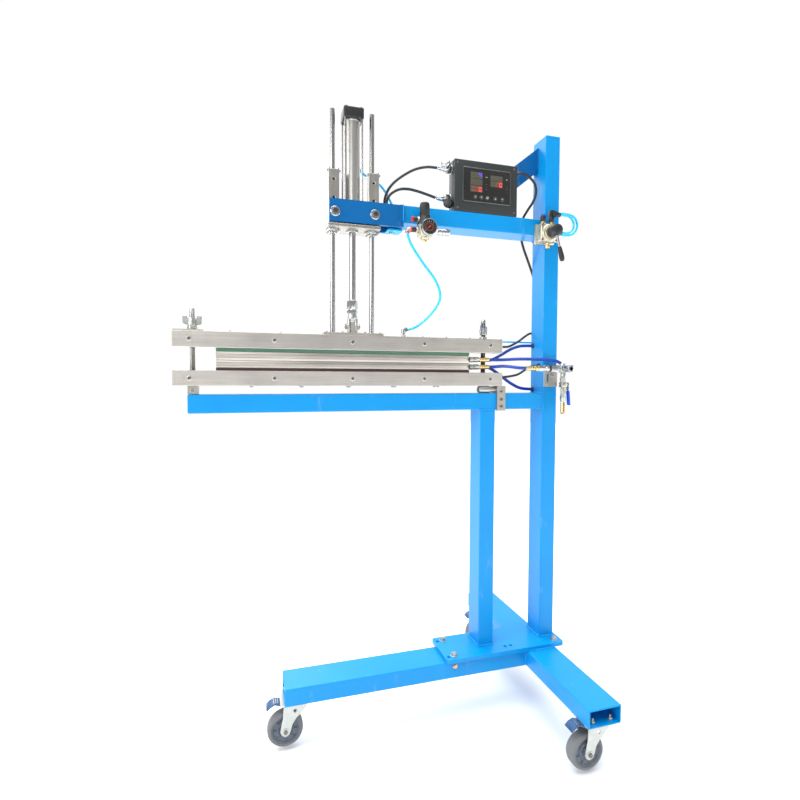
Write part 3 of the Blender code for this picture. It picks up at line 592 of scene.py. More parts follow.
# Base and mast
def makeBase():
    bolts = {"plate": [(-0.232, 0.045), (-0.232, -0.03), (0.045, 0.045), (0.045, -0.03)], "across": 0.0125,
             "tall": 0.0055}
    top = nodeBox("base_plate")[1].z
    shape = Shape("base_plate_bolts")
    for x, y in bolts["plate"]:
        shape.turned(zinc, "z", (x, y, top), [(0, 0.0088), (0.001, 0.0088), (0.0013, 0.0082), (0.0013, 0)],
                     24)
        shape.hexBolt(zinc, "z", (x, y, top + 0.0013), bolts["across"], bolts["tall"])
    shape.done(slot="zinc")
    low, high = nodeBox("base_plate")
    spare = [(-0.247, 0.043), (-0.247, -0.033), (-0.092, -0.026), (-0.076, -0.026), (-0.1, 0.05)]
    shape = Shape("rounded_base_plate")
    shape.plate(bluePaint, roundedBox((low.x, high.x), (low.y, high.y), 0.008), high.z - low.z, "z", low.z,
                [(a, b, 0.004) for a, b in spare], 0.0008)
    shape.done("base_plate", "blue_paint")
    low, high = nodeBox("base_leg_tube")
    shape = Shape("leg_side_bolts")
    for way, y in (("-y", low.y), ("y", high.y)):
        shape.turned(zinc, way, (-0.2335, y, 0.1475), [(0, 0.006), (0.0008, 0.006), (0.0008, 0)], 20)
        shape.hexBolt(copper if way == "-y" else zinc, way, (-0.2335, y, 0.1475), 0.0085, 0.0042)
    shape.done(slot="zinc")

    shape = Shape("base_welds")
    crossLow, crossHigh = nodeBox("base_cross_tube")
    x, under = crossLow.x - 0.0006, high.z
    for y in (low.y, high.y):
        shape.weld(bluePaint, [(x, y, crossLow.z + 0.002), (x, y, crossHigh.z - 0.002)], 0.0026)
    shape.weld(bluePaint, [(x, low.y + 0.003, crossLow.z), (x, high.y - 0.003, crossLow.z)], 0.0024)
    for name in ("tall_column", "front_post"):
        a, b = nodeBox(name)
        z = a.z + 0.0006
        shape.weld(bluePaint, [(a.x, a.y, z), (b.x, a.y, z), (b.x, b.y, z), (a.x, b.y, z), (a.x, a.y, z)],
                   0.003)
    z = under + 0.0006
    for corner in nodeBox("base_plate"):
        shape.weld(bluePaint, [(crossLow.x + 0.006, corner.y, z), (crossHigh.x - 0.004, corner.y, z)], 0.0026)
    shape.done(slot="blue_paint")

    shape = Shape("mast_welds")
    column, beam, post = nodeBox("tall_column"), nodeBox("lower_beam"), nodeBox("front_post")
    arm, brace = nodeBox("upper_arm"), nodeBox("diagonal_brace")
    x = column[0].x
    for a, b in (beam, arm):
        shape.weld(bluePaint, [(x, a.y, a.z), (x, a.y, b.z), (x, b.y, b.z), (x, b.y, a.z), (x, a.y, a.z)],
                   0.0026)
    a, b = post
    z = beam[0].z
    shape.weld(bluePaint, [(a.x, a.y, z), (b.x, a.y, z), (b.x, b.y, z), (a.x, b.y, z), (a.x, a.y, z)], 0.0024)
    for y in (brace[0].y, brace[1].y):
        # the brace welds in the darker blue, painted shade like the brace
        shape.weld(paintedShadeBlue, [(x, y, 1.378), (x, y, 1.434)], 0.0024)
        shape.weld(paintedShadeBlue, [(-0.225, y, arm[1].z), (-0.154, y, arm[1].z)], 0.0024)
    yoke = nodeBox("head_yoke")
    for y in (yoke[0].y + 0.001, yoke[1].y - 0.001):
        shape.weld(bluePaint, [(yoke[1].x, y, arm[0].z + 0.002), (yoke[1].x, y, arm[1].z - 0.002)], 0.0024)
    shape.weld(bluePaint, [(yoke[1].x, yoke[0].y + 0.004, arm[1].z),
                           (yoke[1].x, yoke[1].y - 0.004, arm[1].z)], 0.0022)
    shape.done(slot="blue_paint")

    shape = Shape("arm_lift_tab")  # the tab under the arm's left end, in a lighter blue that is painted highlight
    shape.plate(paintedHighlightBlue, roundedBox((-0.392, -0.356), (0.002, 0.038), 0.006), 0.004, "z", 1.1855,
                [(-0.38, 0.02, 0.0034)])
    shape.hexBolt(zinc, "-z", (-0.38, 0.02, 1.1855), 0.0085, 0.004)
    shape.done(slot="blue_paint")


def makeCaster(side):
    fork, wheel = nodeBox(f"caster_{side}_fork"), nodeBox(f"caster_{side}_wheel")
    turn = {"left": 0, "front": 1, "rear": 2}[side]
    axle, radius = (wheel[0] + wheel[1]) / 2, (wheel[1].z - wheel[0].z) / 2
    x, y = fork[1].x - 0.024, axle.y
    top, lift = fork[1].z, axle.z
    shape = Shape(f"{side}_caster_top_plate")
    ends = (x - 0.034, x + 0.04) if side == "left" else (x - 0.038, x + 0.038)
    shape.plate(zinc, roundedBox(ends, (y - 0.033, y + 0.033), 0.008), 0.0028, "z", top - 0.0028,
                [ringPoints(x, y, 0.0216, 36)], 0.0005)
    for a, b in [(spot, y + j * 0.0235) for spot in (ends[0] + 0.016, ends[1] - 0.016) for j in (-1, 1)]:
        shape.hexBolt(zinc, "-z", (a, b, top - 0.0028), 0.009, 0.0014)
        shape.hexBolt(zinc, "z", (a, b, top + 0.0036), 0.01, 0.0055, 0.006)
        shape.rod(zinc, "z", (a, b, top - 0.001), 0.006, 0.0028)
    shape.done(slot="zinc")

    shape = Shape(f"{side}_caster_fork_pressing", f"caster_{side}_fork")
    shape.turned(zinc, "z", (x, y, 0.0), [
        (0.103, 0.01), (0.103, 0.0176), (0.1045, 0.019), (0.1075, 0.0196), (0.1085, 0.02), (0.1105, 0.02),
        (0.1115, 0.0188), (0.113, 0.0188), (0.114, 0.0198), (0.1165, 0.0198), (top, 0.0188), (top, 0.0)], 36)
    shape.plate(zinc, roundedBox((x - 0.0265, x + 0.024), (y - 0.019, y + 0.019), 0.008), 0.003, "z", 0.1035,
                (), 0.0008)
    leg = [(-0.026, 0.058), (0.0245, 0.058), (0.0248, 0.05), (0.018, 0.043), (0.002, 0.028), (-0.007, 0.014),
           (-0.0105, 0.0), (-0.014, -0.008), (-0.022, -0.0122), (-0.03, -0.008), (-0.0335, 0.0),
           (-0.031, 0.016), (-0.0275, 0.032), (-0.0268, 0.046)]
    for sign in (-1, 1):
        shape.plate(zinc, [(x + a, lift + b) for a, b in leg], 0.0028, "y", y + sign * 0.0177 - 0.0014,
                    [(x - 0.001, lift + 0.045, 0.0036)], 0.0008)
        way = "y" if sign > 0 else "-y"
        spot = Vector((axle.x, y + sign * 0.0189, lift))
        shape.turned(zinc, way, spot, [(0, 0.008), (0.0008, 0.008), (0.0011, 0.0074), (0.0011, 0)], 24)
        shape.hexBolt(darkSteel, way, spot + Vector((0, sign * 0.001, 0)), 0.0085, 0.003)
    shape.rod(zinc, "y", (axle.x, y - 0.0195, lift), 0.039, 0.0048)
    shape.done(f"caster_{side}_fork", "zinc")

    shape = Shape(f"{side}_caster_tyre", f"caster_{side}_wheel")
    half = 0.013
    tyre = [(-half, radius - 0.0085), (-half + 0.0002, radius - 0.0045), (-half + 0.002, radius - 0.0018),
            (-half + 0.005, radius - 0.0004), (0, radius)]
    tyre += [(-a, r) for a, r in reversed(tyre[:-1])]
    shape.turned(tread, "y", axle, tyre + [(half - 0.0006, radius - 0.0087),
                                           (-half + 0.0006, radius - 0.0087)], 72, closed=True)
    face = [
        (0.0106, 0.0314), (0.012, 0.0308), (0.012, 0.0284), (0.0096, 0.0276), (0.0088, 0.0262),
        (0.0088, 0.0196), (0.0098, 0.0188), (0.0114, 0.0182), (0.0114, 0.016), (0.0098, 0.0152),
        (0.0092, 0.0144), (0.0092, 0.011), (0.0142, 0.0104), (0.0148, 0.0094), (0.0148, 0.0052)]
    profile = [(-a, r) for a, r in face] + [(a, r) for a, r in reversed(face)]
    shape.turned(hubPlastic, "y", axle, profile, 56, closed=True)
    for sign in (-1, 1):
        for k in range(8):
            angle = math.tau * (k + turn / 3) / 8
            spot = axle + Vector((math.cos(angle) * 0.0229, sign * 0.0096, math.sin(angle) * 0.0229))
            shape.block(hubPlastic, (spot.x - 0.0036, spot.x + 0.0036), (spot.y - 0.0014, spot.y + 0.0014),
                        (spot.z - 0.0008, spot.z + 0.0008), 0.0004, ("y", -math.degrees(angle), spot))
    shape.done(f"caster_{side}_wheel", "tread")

    shape = Shape(f"{side}_caster_brake_pedal", f"caster_{side}_pedal")
    bend = [(-0.0275, 0.1015), (-0.0275, 0.1095), (-0.036, 0.1117), (-0.045, 0.114), (-0.056, 0.1095),
            (-0.064, 0.102), (-0.062, 0.0985), (-0.054, 0.105), (-0.045, 0.1097), (-0.036, 0.1065)]
    shape.plate(pedalPaint, [(x + a, b) for a, b in bend], 0.0256, "y", y - 0.0128, (), 0.0008)
    for k in range(3):
        a = x - 0.038 - k * 0.0045
        z = 0.1123 + min(k, 1) * 0.0008
        shape.block(zinc, (a - 0.0007, a + 0.0007), (y - 0.01, y + 0.01), (z - 0.0006, z + 0.001), 0.0004)
    shape.done(f"caster_{side}_pedal", "dark_blue_paint")


makeBase()
for casterSide in ("left", "front", "rear"):
    makeCaster(casterSide)
print("base, mast and casters are made")


# Head: guide blocks, cylinder and yoke screws
def makeHead():
    plate, barrel = nodeBox("head_plate"), middle("cylinder_barrel")
    headX, headY = barrel.x, barrel.y
    for side in ("left", "right"):
        low, high = nodeBox(f"guide_block_{side}")
        x = (low.x + high.x) / 2
        shape = Shape(f"{side}_guide_housing")
        spots = [(x, 1.2864), (x, 1.2457)]
        outline = [(low.x, low.z), (high.x, low.z), (high.x, high.z), (low.x, high.z)]
        for y in (low.y, high.y - 0.013):
            shape.plate(blockMetal, outline, 0.013, "y", y, [(a, b, 0.0029) for a, b in spots], 0.0007)
        for a, b in ((low.x, x - 0.0066), (x + 0.0066, high.x)):
            shape.block(blockMetal, (a, b), (low.y + 0.0126, high.y - 0.0126), (low.z, high.z), 0.0003)
        for a, b in spots:
            for y in (low.y + 0.0085, high.y - 0.0125):
                # black plugs deep in the housing's holes, painted shade for the holes' insides
                shape.rod(holeShade, "y", (a, y, b), 0.004, 0.0034, 0.0002)
        shape.turned(chrome, "z", (x, headY, high.z), [(0, 0.0066), (0, 0.0112), (0.0016, 0.0116),
                                                       (0.0028, 0.011),
                                                       (0.0028, 0.0066)], 32, closed=True)
        for sign in (-1, 1):
            for back in (-1, 1):
                spot = (x + sign * 0.0098, headY + back * 0.018, high.z)
                shape.capScrew(chrome, "z", spot, 0.0029, 0.0034)
        for span in ((low.x - 0.0035, low.x + 0.0005), (high.x - 0.0005, high.x + 0.0035)):
            shape.block(chrome, span, (low.y + 0.002, low.y + 0.008), (high.z - 0.006, high.z - 0.001),
                        0.0008)
        shape.done(f"guide_block_{side}", "aluminium")

        shape = Shape(f"{side}_rod_bearing")
        shape.turned(chrome, "-z", (x, headY, plate[0].z), [
            (0, 0.0066), (0, 0.0172), (0.001, 0.0176), (0.0036, 0.0176), (0.0044, 0.0168), (0.0044, 0.0112),
            (0.0085, 0.0108), (0.0092, 0.01), (0.0092, 0.0066)], 36, closed=True)
        for k in range(4):
            angle = math.radians(45 + 90 * k)
            shape.capScrew(zinc, "-z", (x + 0.0142 * math.cos(angle), headY + 0.0142 * math.sin(angle),
                                        plate[0].z - 0.0044), 0.0025, 0.0026)
        shape.done(slot="aluminium")

    shape = Shape("piston_gland")
    shape.turned(chrome, "-z", (headX, headY, plate[0].z), [
        (0, 0.0086), (0, 0.0135), (0.0008, 0.014), (0.0034, 0.014), (0.004, 0.0132),
        (0.004, 0.0086)], 32, closed=True)
    shape.done(slot="aluminium")

    low, high = nodeBox("cylinder_front_cap")
    shape = Shape("detailed_cylinder_front_cap")
    square = [(low.x, low.y), (high.x, low.y), (high.x, high.y), (low.x, high.y)]
    shape.plate(blackPlastic, square, high.z - low.z, "z", low.z, [(headX, headY, 0.0086)], 0.0016)
    shape.done("cylinder_front_cap", "black_plastic")
    low, high = nodeBox("cylinder_rear_cap")
    shape = Shape("detailed_cylinder_rear_cap")
    shape.block(blackPlastic, (low.x, high.x), (low.y, high.y), (low.z, high.z), 0.0022, segments=3)
    for i in (-1, 1):
        for j in (-1, 1):
            shape.capScrew(darkSteel, "z", (headX + i * 0.017, headY + j * 0.017, high.z - 0.0002), 0.004,
                           0.0022)
    port = (headX, high.y, (low.z + high.z) / 2)
    shape.hexBolt(brass, "y", port, 0.012, 0.006)
    shape.rod(blackPlastic, "y", (port[0], port[1] + 0.005, port[2]), 0.014, 0.0062)
    shape.rod(bluePlastic, "-z", (port[0], port[1] + 0.013 + 0.005, port[2] + 0.002), 0.0095, 0.0052)
    shape.done("cylinder_rear_cap", "black_plastic")
    shape = Shape("front_cap_air_elbow")
    shape.hexBolt(brass, "y", (headX, nodeBox("cylinder_front_cap")[1].y, 1.2), 0.012, 0.012)
    shape.block(blackPlastic, (headX - 0.0055, headX + 0.016), (0.054, 0.0655), (1.1945, 1.2055), 0.002)
    shape.rod(bluePlastic, "x", (headX + 0.0155, 0.06, 1.2), 0.011, 0.005)
    shape.done(slot="black_plastic")

    shape = Shape("cylinder_tie_rods")
    low, high = nodeBox("cylinder_front_cap")[1].z, nodeBox("cylinder_rear_cap")[0].z
    for i in (-1, 1):
        for j in (-1, 1):
            spot = (headX + i * 0.0196, headY + j * 0.0184, low - 0.0004)
            shape.rod(rodSteel, "z", spot, high - low + 0.0008, 0.002, 0.0002, 16)
    shape.done(slot="aluminium")
    shape = Shape("cylinder_end_rings")
    for z in (low + 0.0004, high - 0.0036):
        shape.turned(tubeMetal, "z", (headX, headY, z), [
            (0, 0.0172), (0, 0.0186), (0.0004, 0.019), (0.0028, 0.019), (0.0032, 0.0186),
            (0.0032, 0.0172)], 48, closed=True)
    shape.done(slot="aluminium")

    yoke = nodeBox("head_yoke")
    shape = Shape("yoke_screws")
    for x, z in ((-0.5175, 1.2121), (-0.4261, 1.2125)):
        for way, y in (("-y", yoke[0].y + 0.002), ("y", yoke[1].y - 0.002)):
            shape.capScrew(darkSteel, way, (x, y, z), 0.0068, 0.0055, 0.0112)
    shape.done(slot="steel")

    shape = Shape("cable_grommets")
    for y, z in ((0.02, 1.222), (0.005, 1.221)):
        shape.turned(blackPlastic, "-x", (yoke[1].x - 0.01, y, z), [
            (0, 0.0034), (0, 0.007), (0.0014, 0.0068), (0.0026, 0.0056), (0.0034, 0.0042),
            (0.0034, 0.0034)], 24, closed=True)
    shape.block(bluePlastic, (0.027, 0.042), (0.05, 0.061), (0.931, 0.944), 0.0015)
    shape.block(blackPlastic, (0.027, 0.042), (0.05, 0.062), (0.956, 0.971), 0.0015)
    shape.turned(blackPlastic, "y", (0.036, 0.05, 1.056), [
        (0, 0.0034), (0, 0.0085), (0.0018, 0.0082), (0.0026, 0.0076), (0.0026, 0.0)], 24)
    shape.block(blackPlastic, (0.026, 0.044), (0.052, 0.064), (1.044, 1.062), 0.0025)
    shape.block(blackPlastic, (-0.056, -0.04), (0.05, 0.059), (1.215, 1.239), 0.002)
    for x in (-0.3, -0.215, -0.13):
        shape.block(blackPlastic, (x - 0.0035, x + 0.0035), (0.05, 0.0572), (1.216, 1.2375), 0.0015)
    shape.done(slot="black_plastic")


makeHead()
print("head is made")


# Jaws
def makeJaws():
    jawX, jawY = middle("upper_front_rail").x, 0.02
    screws = {"pitch": 0.172, "head": 0.0036, "tall": 0.002}
    for jaw, body, z in (("upper", "upper_jaw", 0.922), ("lower", "frame", 0.8395)):
        front, rear = nodeBox(f"{jaw}_front_rail")[0].y, nodeBox(f"{jaw}_rear_rail")[1].y
        shape = Shape(f"{jaw}_rail_screws", body)
        for x in (jawX + k * screws["pitch"] for k in (-2, -1, 0, 1, 2)):
            for way, y, sunk in (("-y", front, -0.0004), ("y", rear, 0.0004)):
                shape.turned(barMetal, way, (x, y, z), [
                    (0, 0.0052), (0.0003, 0.0052), (0.0006, 0.0046), (0.0006, 0)], 24)
                shape.capScrew(darkSteel, way, (x, y + sunk, z), screws["head"], screws["tall"])
        shape.done(slot="steel")
    top, under = nodeBox("upper_front_rail")[1].z, nodeBox("lower_front_rail")[0].z
    shape = Shape("jaw_top_screws", "upper_jaw")
    for x in (-0.743, -0.634, -0.3, -0.238, -0.175):
        shape.hexBolt(zinc, "z", (x, jawY, top), 0.007, 0.003, 0.003)
    for x in (-0.535, -0.499, -0.4466, -0.4106):
        for y in (0.001, 0.039):
            shape.capScrew(chrome, "z", (x, y, top + 0.0066), 0.003, 0.0028)
    shape.done(slot="steel")
    shape = Shape("jaw_under_screws")
    for x in (-0.699, -0.59, -0.482, -0.372, -0.264):
        for y in (0.007, 0.033):
            shape.hexBolt(zinc, "-z", (x, y, under), 0.007, 0.0024, 0.0016)
    shape.done(slot="steel")

    # Seal bars, with thin dark steel strips along both sides as painted shade for their grooves, and their
    # water unions and heater terminal at the right
    for jaw, body, portZ in (("upper", "upper_jaw", 0.888), ("lower", "frame", 0.87)):
        node = f"{jaw}_seal_bar"
        left, right = nodeBox(node)[0].x, -0.1848
        z = (0.8785, 0.8972) if jaw == "upper" else (0.862, 0.8782)
        shape = Shape(f"{jaw}_seal_bar_assembly", body)
        shape.block(barMetal, (left, right), (0.002, 0.038), z, 0.0008)
        # thin dark steel strips at two heights on each side face: painted shade standing in for the grooves
        for y in ((0.0016 - 0.0001, 0.0016 + 0.0009), (0.0384 - 0.0009, 0.0384 + 0.0001)):
            for height in (0.3, 0.68):
                mid = z[0] + (z[1] - z[0]) * height
                shape.block(darkSteel, (left + 0.0004, right - 0.0004), y, (mid - 0.00022, mid + 0.00022), 0)
        for y in (0.005, 0.035):
            shape.disc(darkSteel, "x", (right, y, portZ), 0.0018, 0.0056, 20)
            shape.hexBolt(zinc, "x", (right + 0.0018, y, portZ), 0.0125, 0.008)
            shape.turned(zinc, "x", (right + 0.0096, y, portZ), [
                (0, 0.0052), (0.003, 0.0052), (0.0036, 0.0066), (0.015, 0.0066), (0.016, 0.0058),
                (0.019, 0.005)], 24)
            shape.turned(brass, "x", (right + 0.028, y, portZ), [
                (0, 0.0046), (0.001, 0.0052), (0.025, 0.0052), (0.0262, 0.0046), (0.0276, 0.004)], 24)
            for k in range(4):
                shape.turned(brass, "x", (right + 0.033 + k * 0.005, y, portZ), [
                    (0, 0.005), (0.0005, 0.0055), (0.0014, 0.0055), (0.0019, 0.005)], 24)
        shape.block(copper, (right - 0.0006, right + 0.0072), (0.0135, 0.0265),
                    (portZ - 0.004, portZ + 0.0042), 0.0012)
        shape.capScrew(brass, "x", (right + 0.007, jawY, portZ), 0.0042, 0.0032)
        shape.done(node, "aluminium")

    # Wing screws, with the collar and pad that each stands on
    for side, stud, turn in (("left", rodSteel, 0), ("right", darkSteel, 38)):
        low, high = nodeBox(f"{side}_wing_screw")
        x, base = (low.x + high.x) / 2, 0.95
        shape = Shape(f"{side}_wing_screw_set", f"{side}_wing_screw")
        shape.thread(stud, "z", (x, jawY, low.z), 0.13, 0.006, 0.00125)
        shape.turned(chrome, "z", (x, jawY, base + 0.03), [
            (0, 0.0056), (0.006, 0.0056), (0.008, 0.005), (0.0092, 0.0036), (0.0098, 0.0016),
            (0.0098, 0.0)], 24)
        shape.turned(zinc, "z", (x, jawY, base), [
            (0, 0.0088), (0.0008, 0.0092), (0.004, 0.009), (0.012, 0.0078), (0.0175, 0.0072), (0.018, 0.0066),
            (0.018, 0.0058)], 28)
        for sign in (-1, 1):
            wing = [(sign * a, b) for a, b in ((0.005, 0.002), (0.01, 0.0018), (0.016, 0.0032),
                                               (0.019, 0.0068),
                                               (0.0196, 0.0195), (0.018, 0.0232), (0.0128, 0.0236),
                                               (0.0102, 0.021),
                                               (0.0088, 0.015), (0.0055, 0.013))]
            shape.plate(zinc, [(x + a, base + b) for a, b in wing], 0.0046, "y", 0.0177, (), 0.0012)
        bmesh.ops.rotate(shape.mesh, cent=(x, jawY, 0), verts=shape.mesh.verts,
                         matrix=Matrix.Rotation(math.radians(turn), 3, "Z"))
        shape.done(f"{side}_wing_screw", "steel")
        shape = Shape(f"{side}_stop_collar", "upper_jaw")
        floor = nodeBox("upper_jaw_core")[1].z if side == "left" else top
        shape.turned(zinc, "z", (x, jawY, floor), [
            (0, 0.007), (0, 0.0118), (0.0014, 0.0118), (0.0014, 0.0104), (0.0016, 0.01),
            (0.0016, 0.007)], 28, closed=True)
        shape.turned(zinc, "z", (x, jawY, floor + 0.0018), [
            (0, 0.0068), (0, 0.0092), (0.001, 0.0104, hexForm), (0.005, 0.0104, hexForm), (0.0058, 0.0092),
            (0.0058, 0.0068)],
            24, closed=True)
        shape.done(slot="steel")
        shape = Shape(f"{side}_stop_pad")
        pad = nodeBox("lower_jaw_core")[1].z
        shape.turned(darkSteel, "z", (x, jawY, pad - 0.003), [
            (0, 0.0105), (0.0026, 0.0105), (0.003, 0.01), (0.003, 0.0)], 28)
        shape.done(slot="steel")

    # The clevis between the piston rod and the jaw
    x, y, pin = middle("clevis_pin").x, middle("clevis_pin").y, middle("clevis_pin").z
    shape = Shape("rod_end_clevis", "upper_jaw")
    for sign in (-1, 1):
        ear = [(a, b) for a, b in ((-0.0085, 0.9465), (0.0085, 0.9465), (0.0098, 0.952), (0.0098, 0.976),
                                   (0.0085, 0.98), (-0.0085, 0.98), (-0.0098, 0.976), (-0.0098, 0.952))]
        edge = x + sign * 0.0083
        shape.plate(zinc, [(y + a, b) for a, b in ear], 0.0052, "x", edge - 0.0026, [(y, pin, 0.0043)], 0.001)
    shape.turned(zinc, "z", (x, y, 0.9745), [
        (0, 0.0098), (0.002, 0.011), (0.0055, 0.0112), (0.012, 0.0104), (0.0165, 0.0096),
        (0.0175, 0.009)], 28)
    shape.turned(chrome, "z", (x, y, 0.9905), [
        (0, 0.01), (0.001, 0.0125, hexForm), (0.007, 0.0125, hexForm), (0.008, 0.0104), (0.009, 0.0104),
        (0.01, 0.0125, hexForm), (0.029, 0.0125, hexForm), (0.0305, 0.0102), (0.0312, 0.0088)])
    shape.done("rod_clevis", "zinc")
    shape = Shape("clevis_pin_clips", "upper_jaw")
    for sign in (-1, 1):
        way = "x" if sign > 0 else "-x"
        shape.turned(darkSteel, way, (x + sign * 0.0142, y, pin), [
            (0, 0.0062), (0.0006, 0.0066), (0.0016, 0.0066), (0.0022, 0.006), (0.0022, 0.0)], 24)
        shape.rod(zinc, way, (x + sign * 0.016, y, pin), 0.0026, 0.003)
    shape.done(slot="steel")

    # The air elbow on the jaw's top, its tube's far end
    shape = Shape("jaw_air_elbow", "upper_jaw")
    shape.hexBolt(zinc, "z", (-0.348, jawY, top), 0.011, 0.005)
    shape.turned(chrome, "z", (-0.348, jawY, top + 0.0048), [
        (0, 0.0044), (0.005, 0.0044), (0.006, 0.0056), (0.016, 0.0056), (0.0175, 0.004), (0.018, 0.0)], 24)
    way = Vector((0.02, -0.008, 0.007)).normalized()
    shape.turned(darkSteel, tuple(way), (-0.348, jawY, 0.956), [
        (0, 0.005), (0.008, 0.005), (0.0086, 0.0044), (0.01, 0.0044), (0.0102, 0.0034)], 24)
    shape.done(slot="steel")

    # Supports under the lower jaw
    shape = Shape("support_strap_screws")
    strap = nodeBox("right_support_bracket")
    for z, head in ((0.773, 0.0038), (0.79, 0.0038), (0.8095, 0.003)):
        shape.capScrew(darkSteel, "-y", (-0.1045, strap[0].y, z), head, 0.0026)
    shape.rod(zinc, "-x", (-0.13, 0.0, 0.814), 0.03, 0.0088, 0.001, 28)
    shape.turned(darkSteel, "-x", (-0.155, 0.0, 0.814), [(0, 0.0064), (0.006, 0.0064), (0.0066, 0.0058),
        (0.0066, 0)], 24)
    shape.capScrew(chrome, "-y", (-0.8185, nodeBox("left_support_block")[0].y, 0.814), 0.0036, 0.0022)
    shape.done(slot="steel")
    for name, body, z in (("upper_jaw_cable_gland", "upper_jaw", 0.923),
                          ("lower_jaw_cable_gland", "frame", 0.843)):
        shape = Shape(name, body)
        y = 0.02 if body == "upper_jaw" else 0.016
        shape.hexBolt(blackPlastic, "x", (-0.102, y, z), 0.011, 0.004)
        shape.turned(blackPlastic, "x", (-0.0985, y, z), [(0, 0.0052), (0.005, 0.005), (0.007, 0.0036)], 24)
        if body == "upper_jaw":
            shape.turned(bluePlastic, "x", (-0.102, 0.04, 0.933),
                         [(0, 0.0046), (0.005, 0.0046), (0.006, 0.003)], 24)
        shape.done(slot="black_plastic")
    shape = Shape("column_grommets")
    column = nodeBox("tall_column")[0].x
    for y, z, radius in ((0.041, 0.928, 0.004), (0.041, 0.8135, 0.004), (0.011, 0.876, 0.003)):
        shape.turned(blackPlastic, "-x", (column, y, z), [
            (0, radius), (0, radius + 0.0034), (0.0012, radius + 0.0032), (0.0022, radius + 0.0022),
            (0.0028, radius + 0.0004), (0.0028, radius)], 24, closed=True)
    shape.done(slot="black_plastic")


makeJaws()
print("jaws are made")


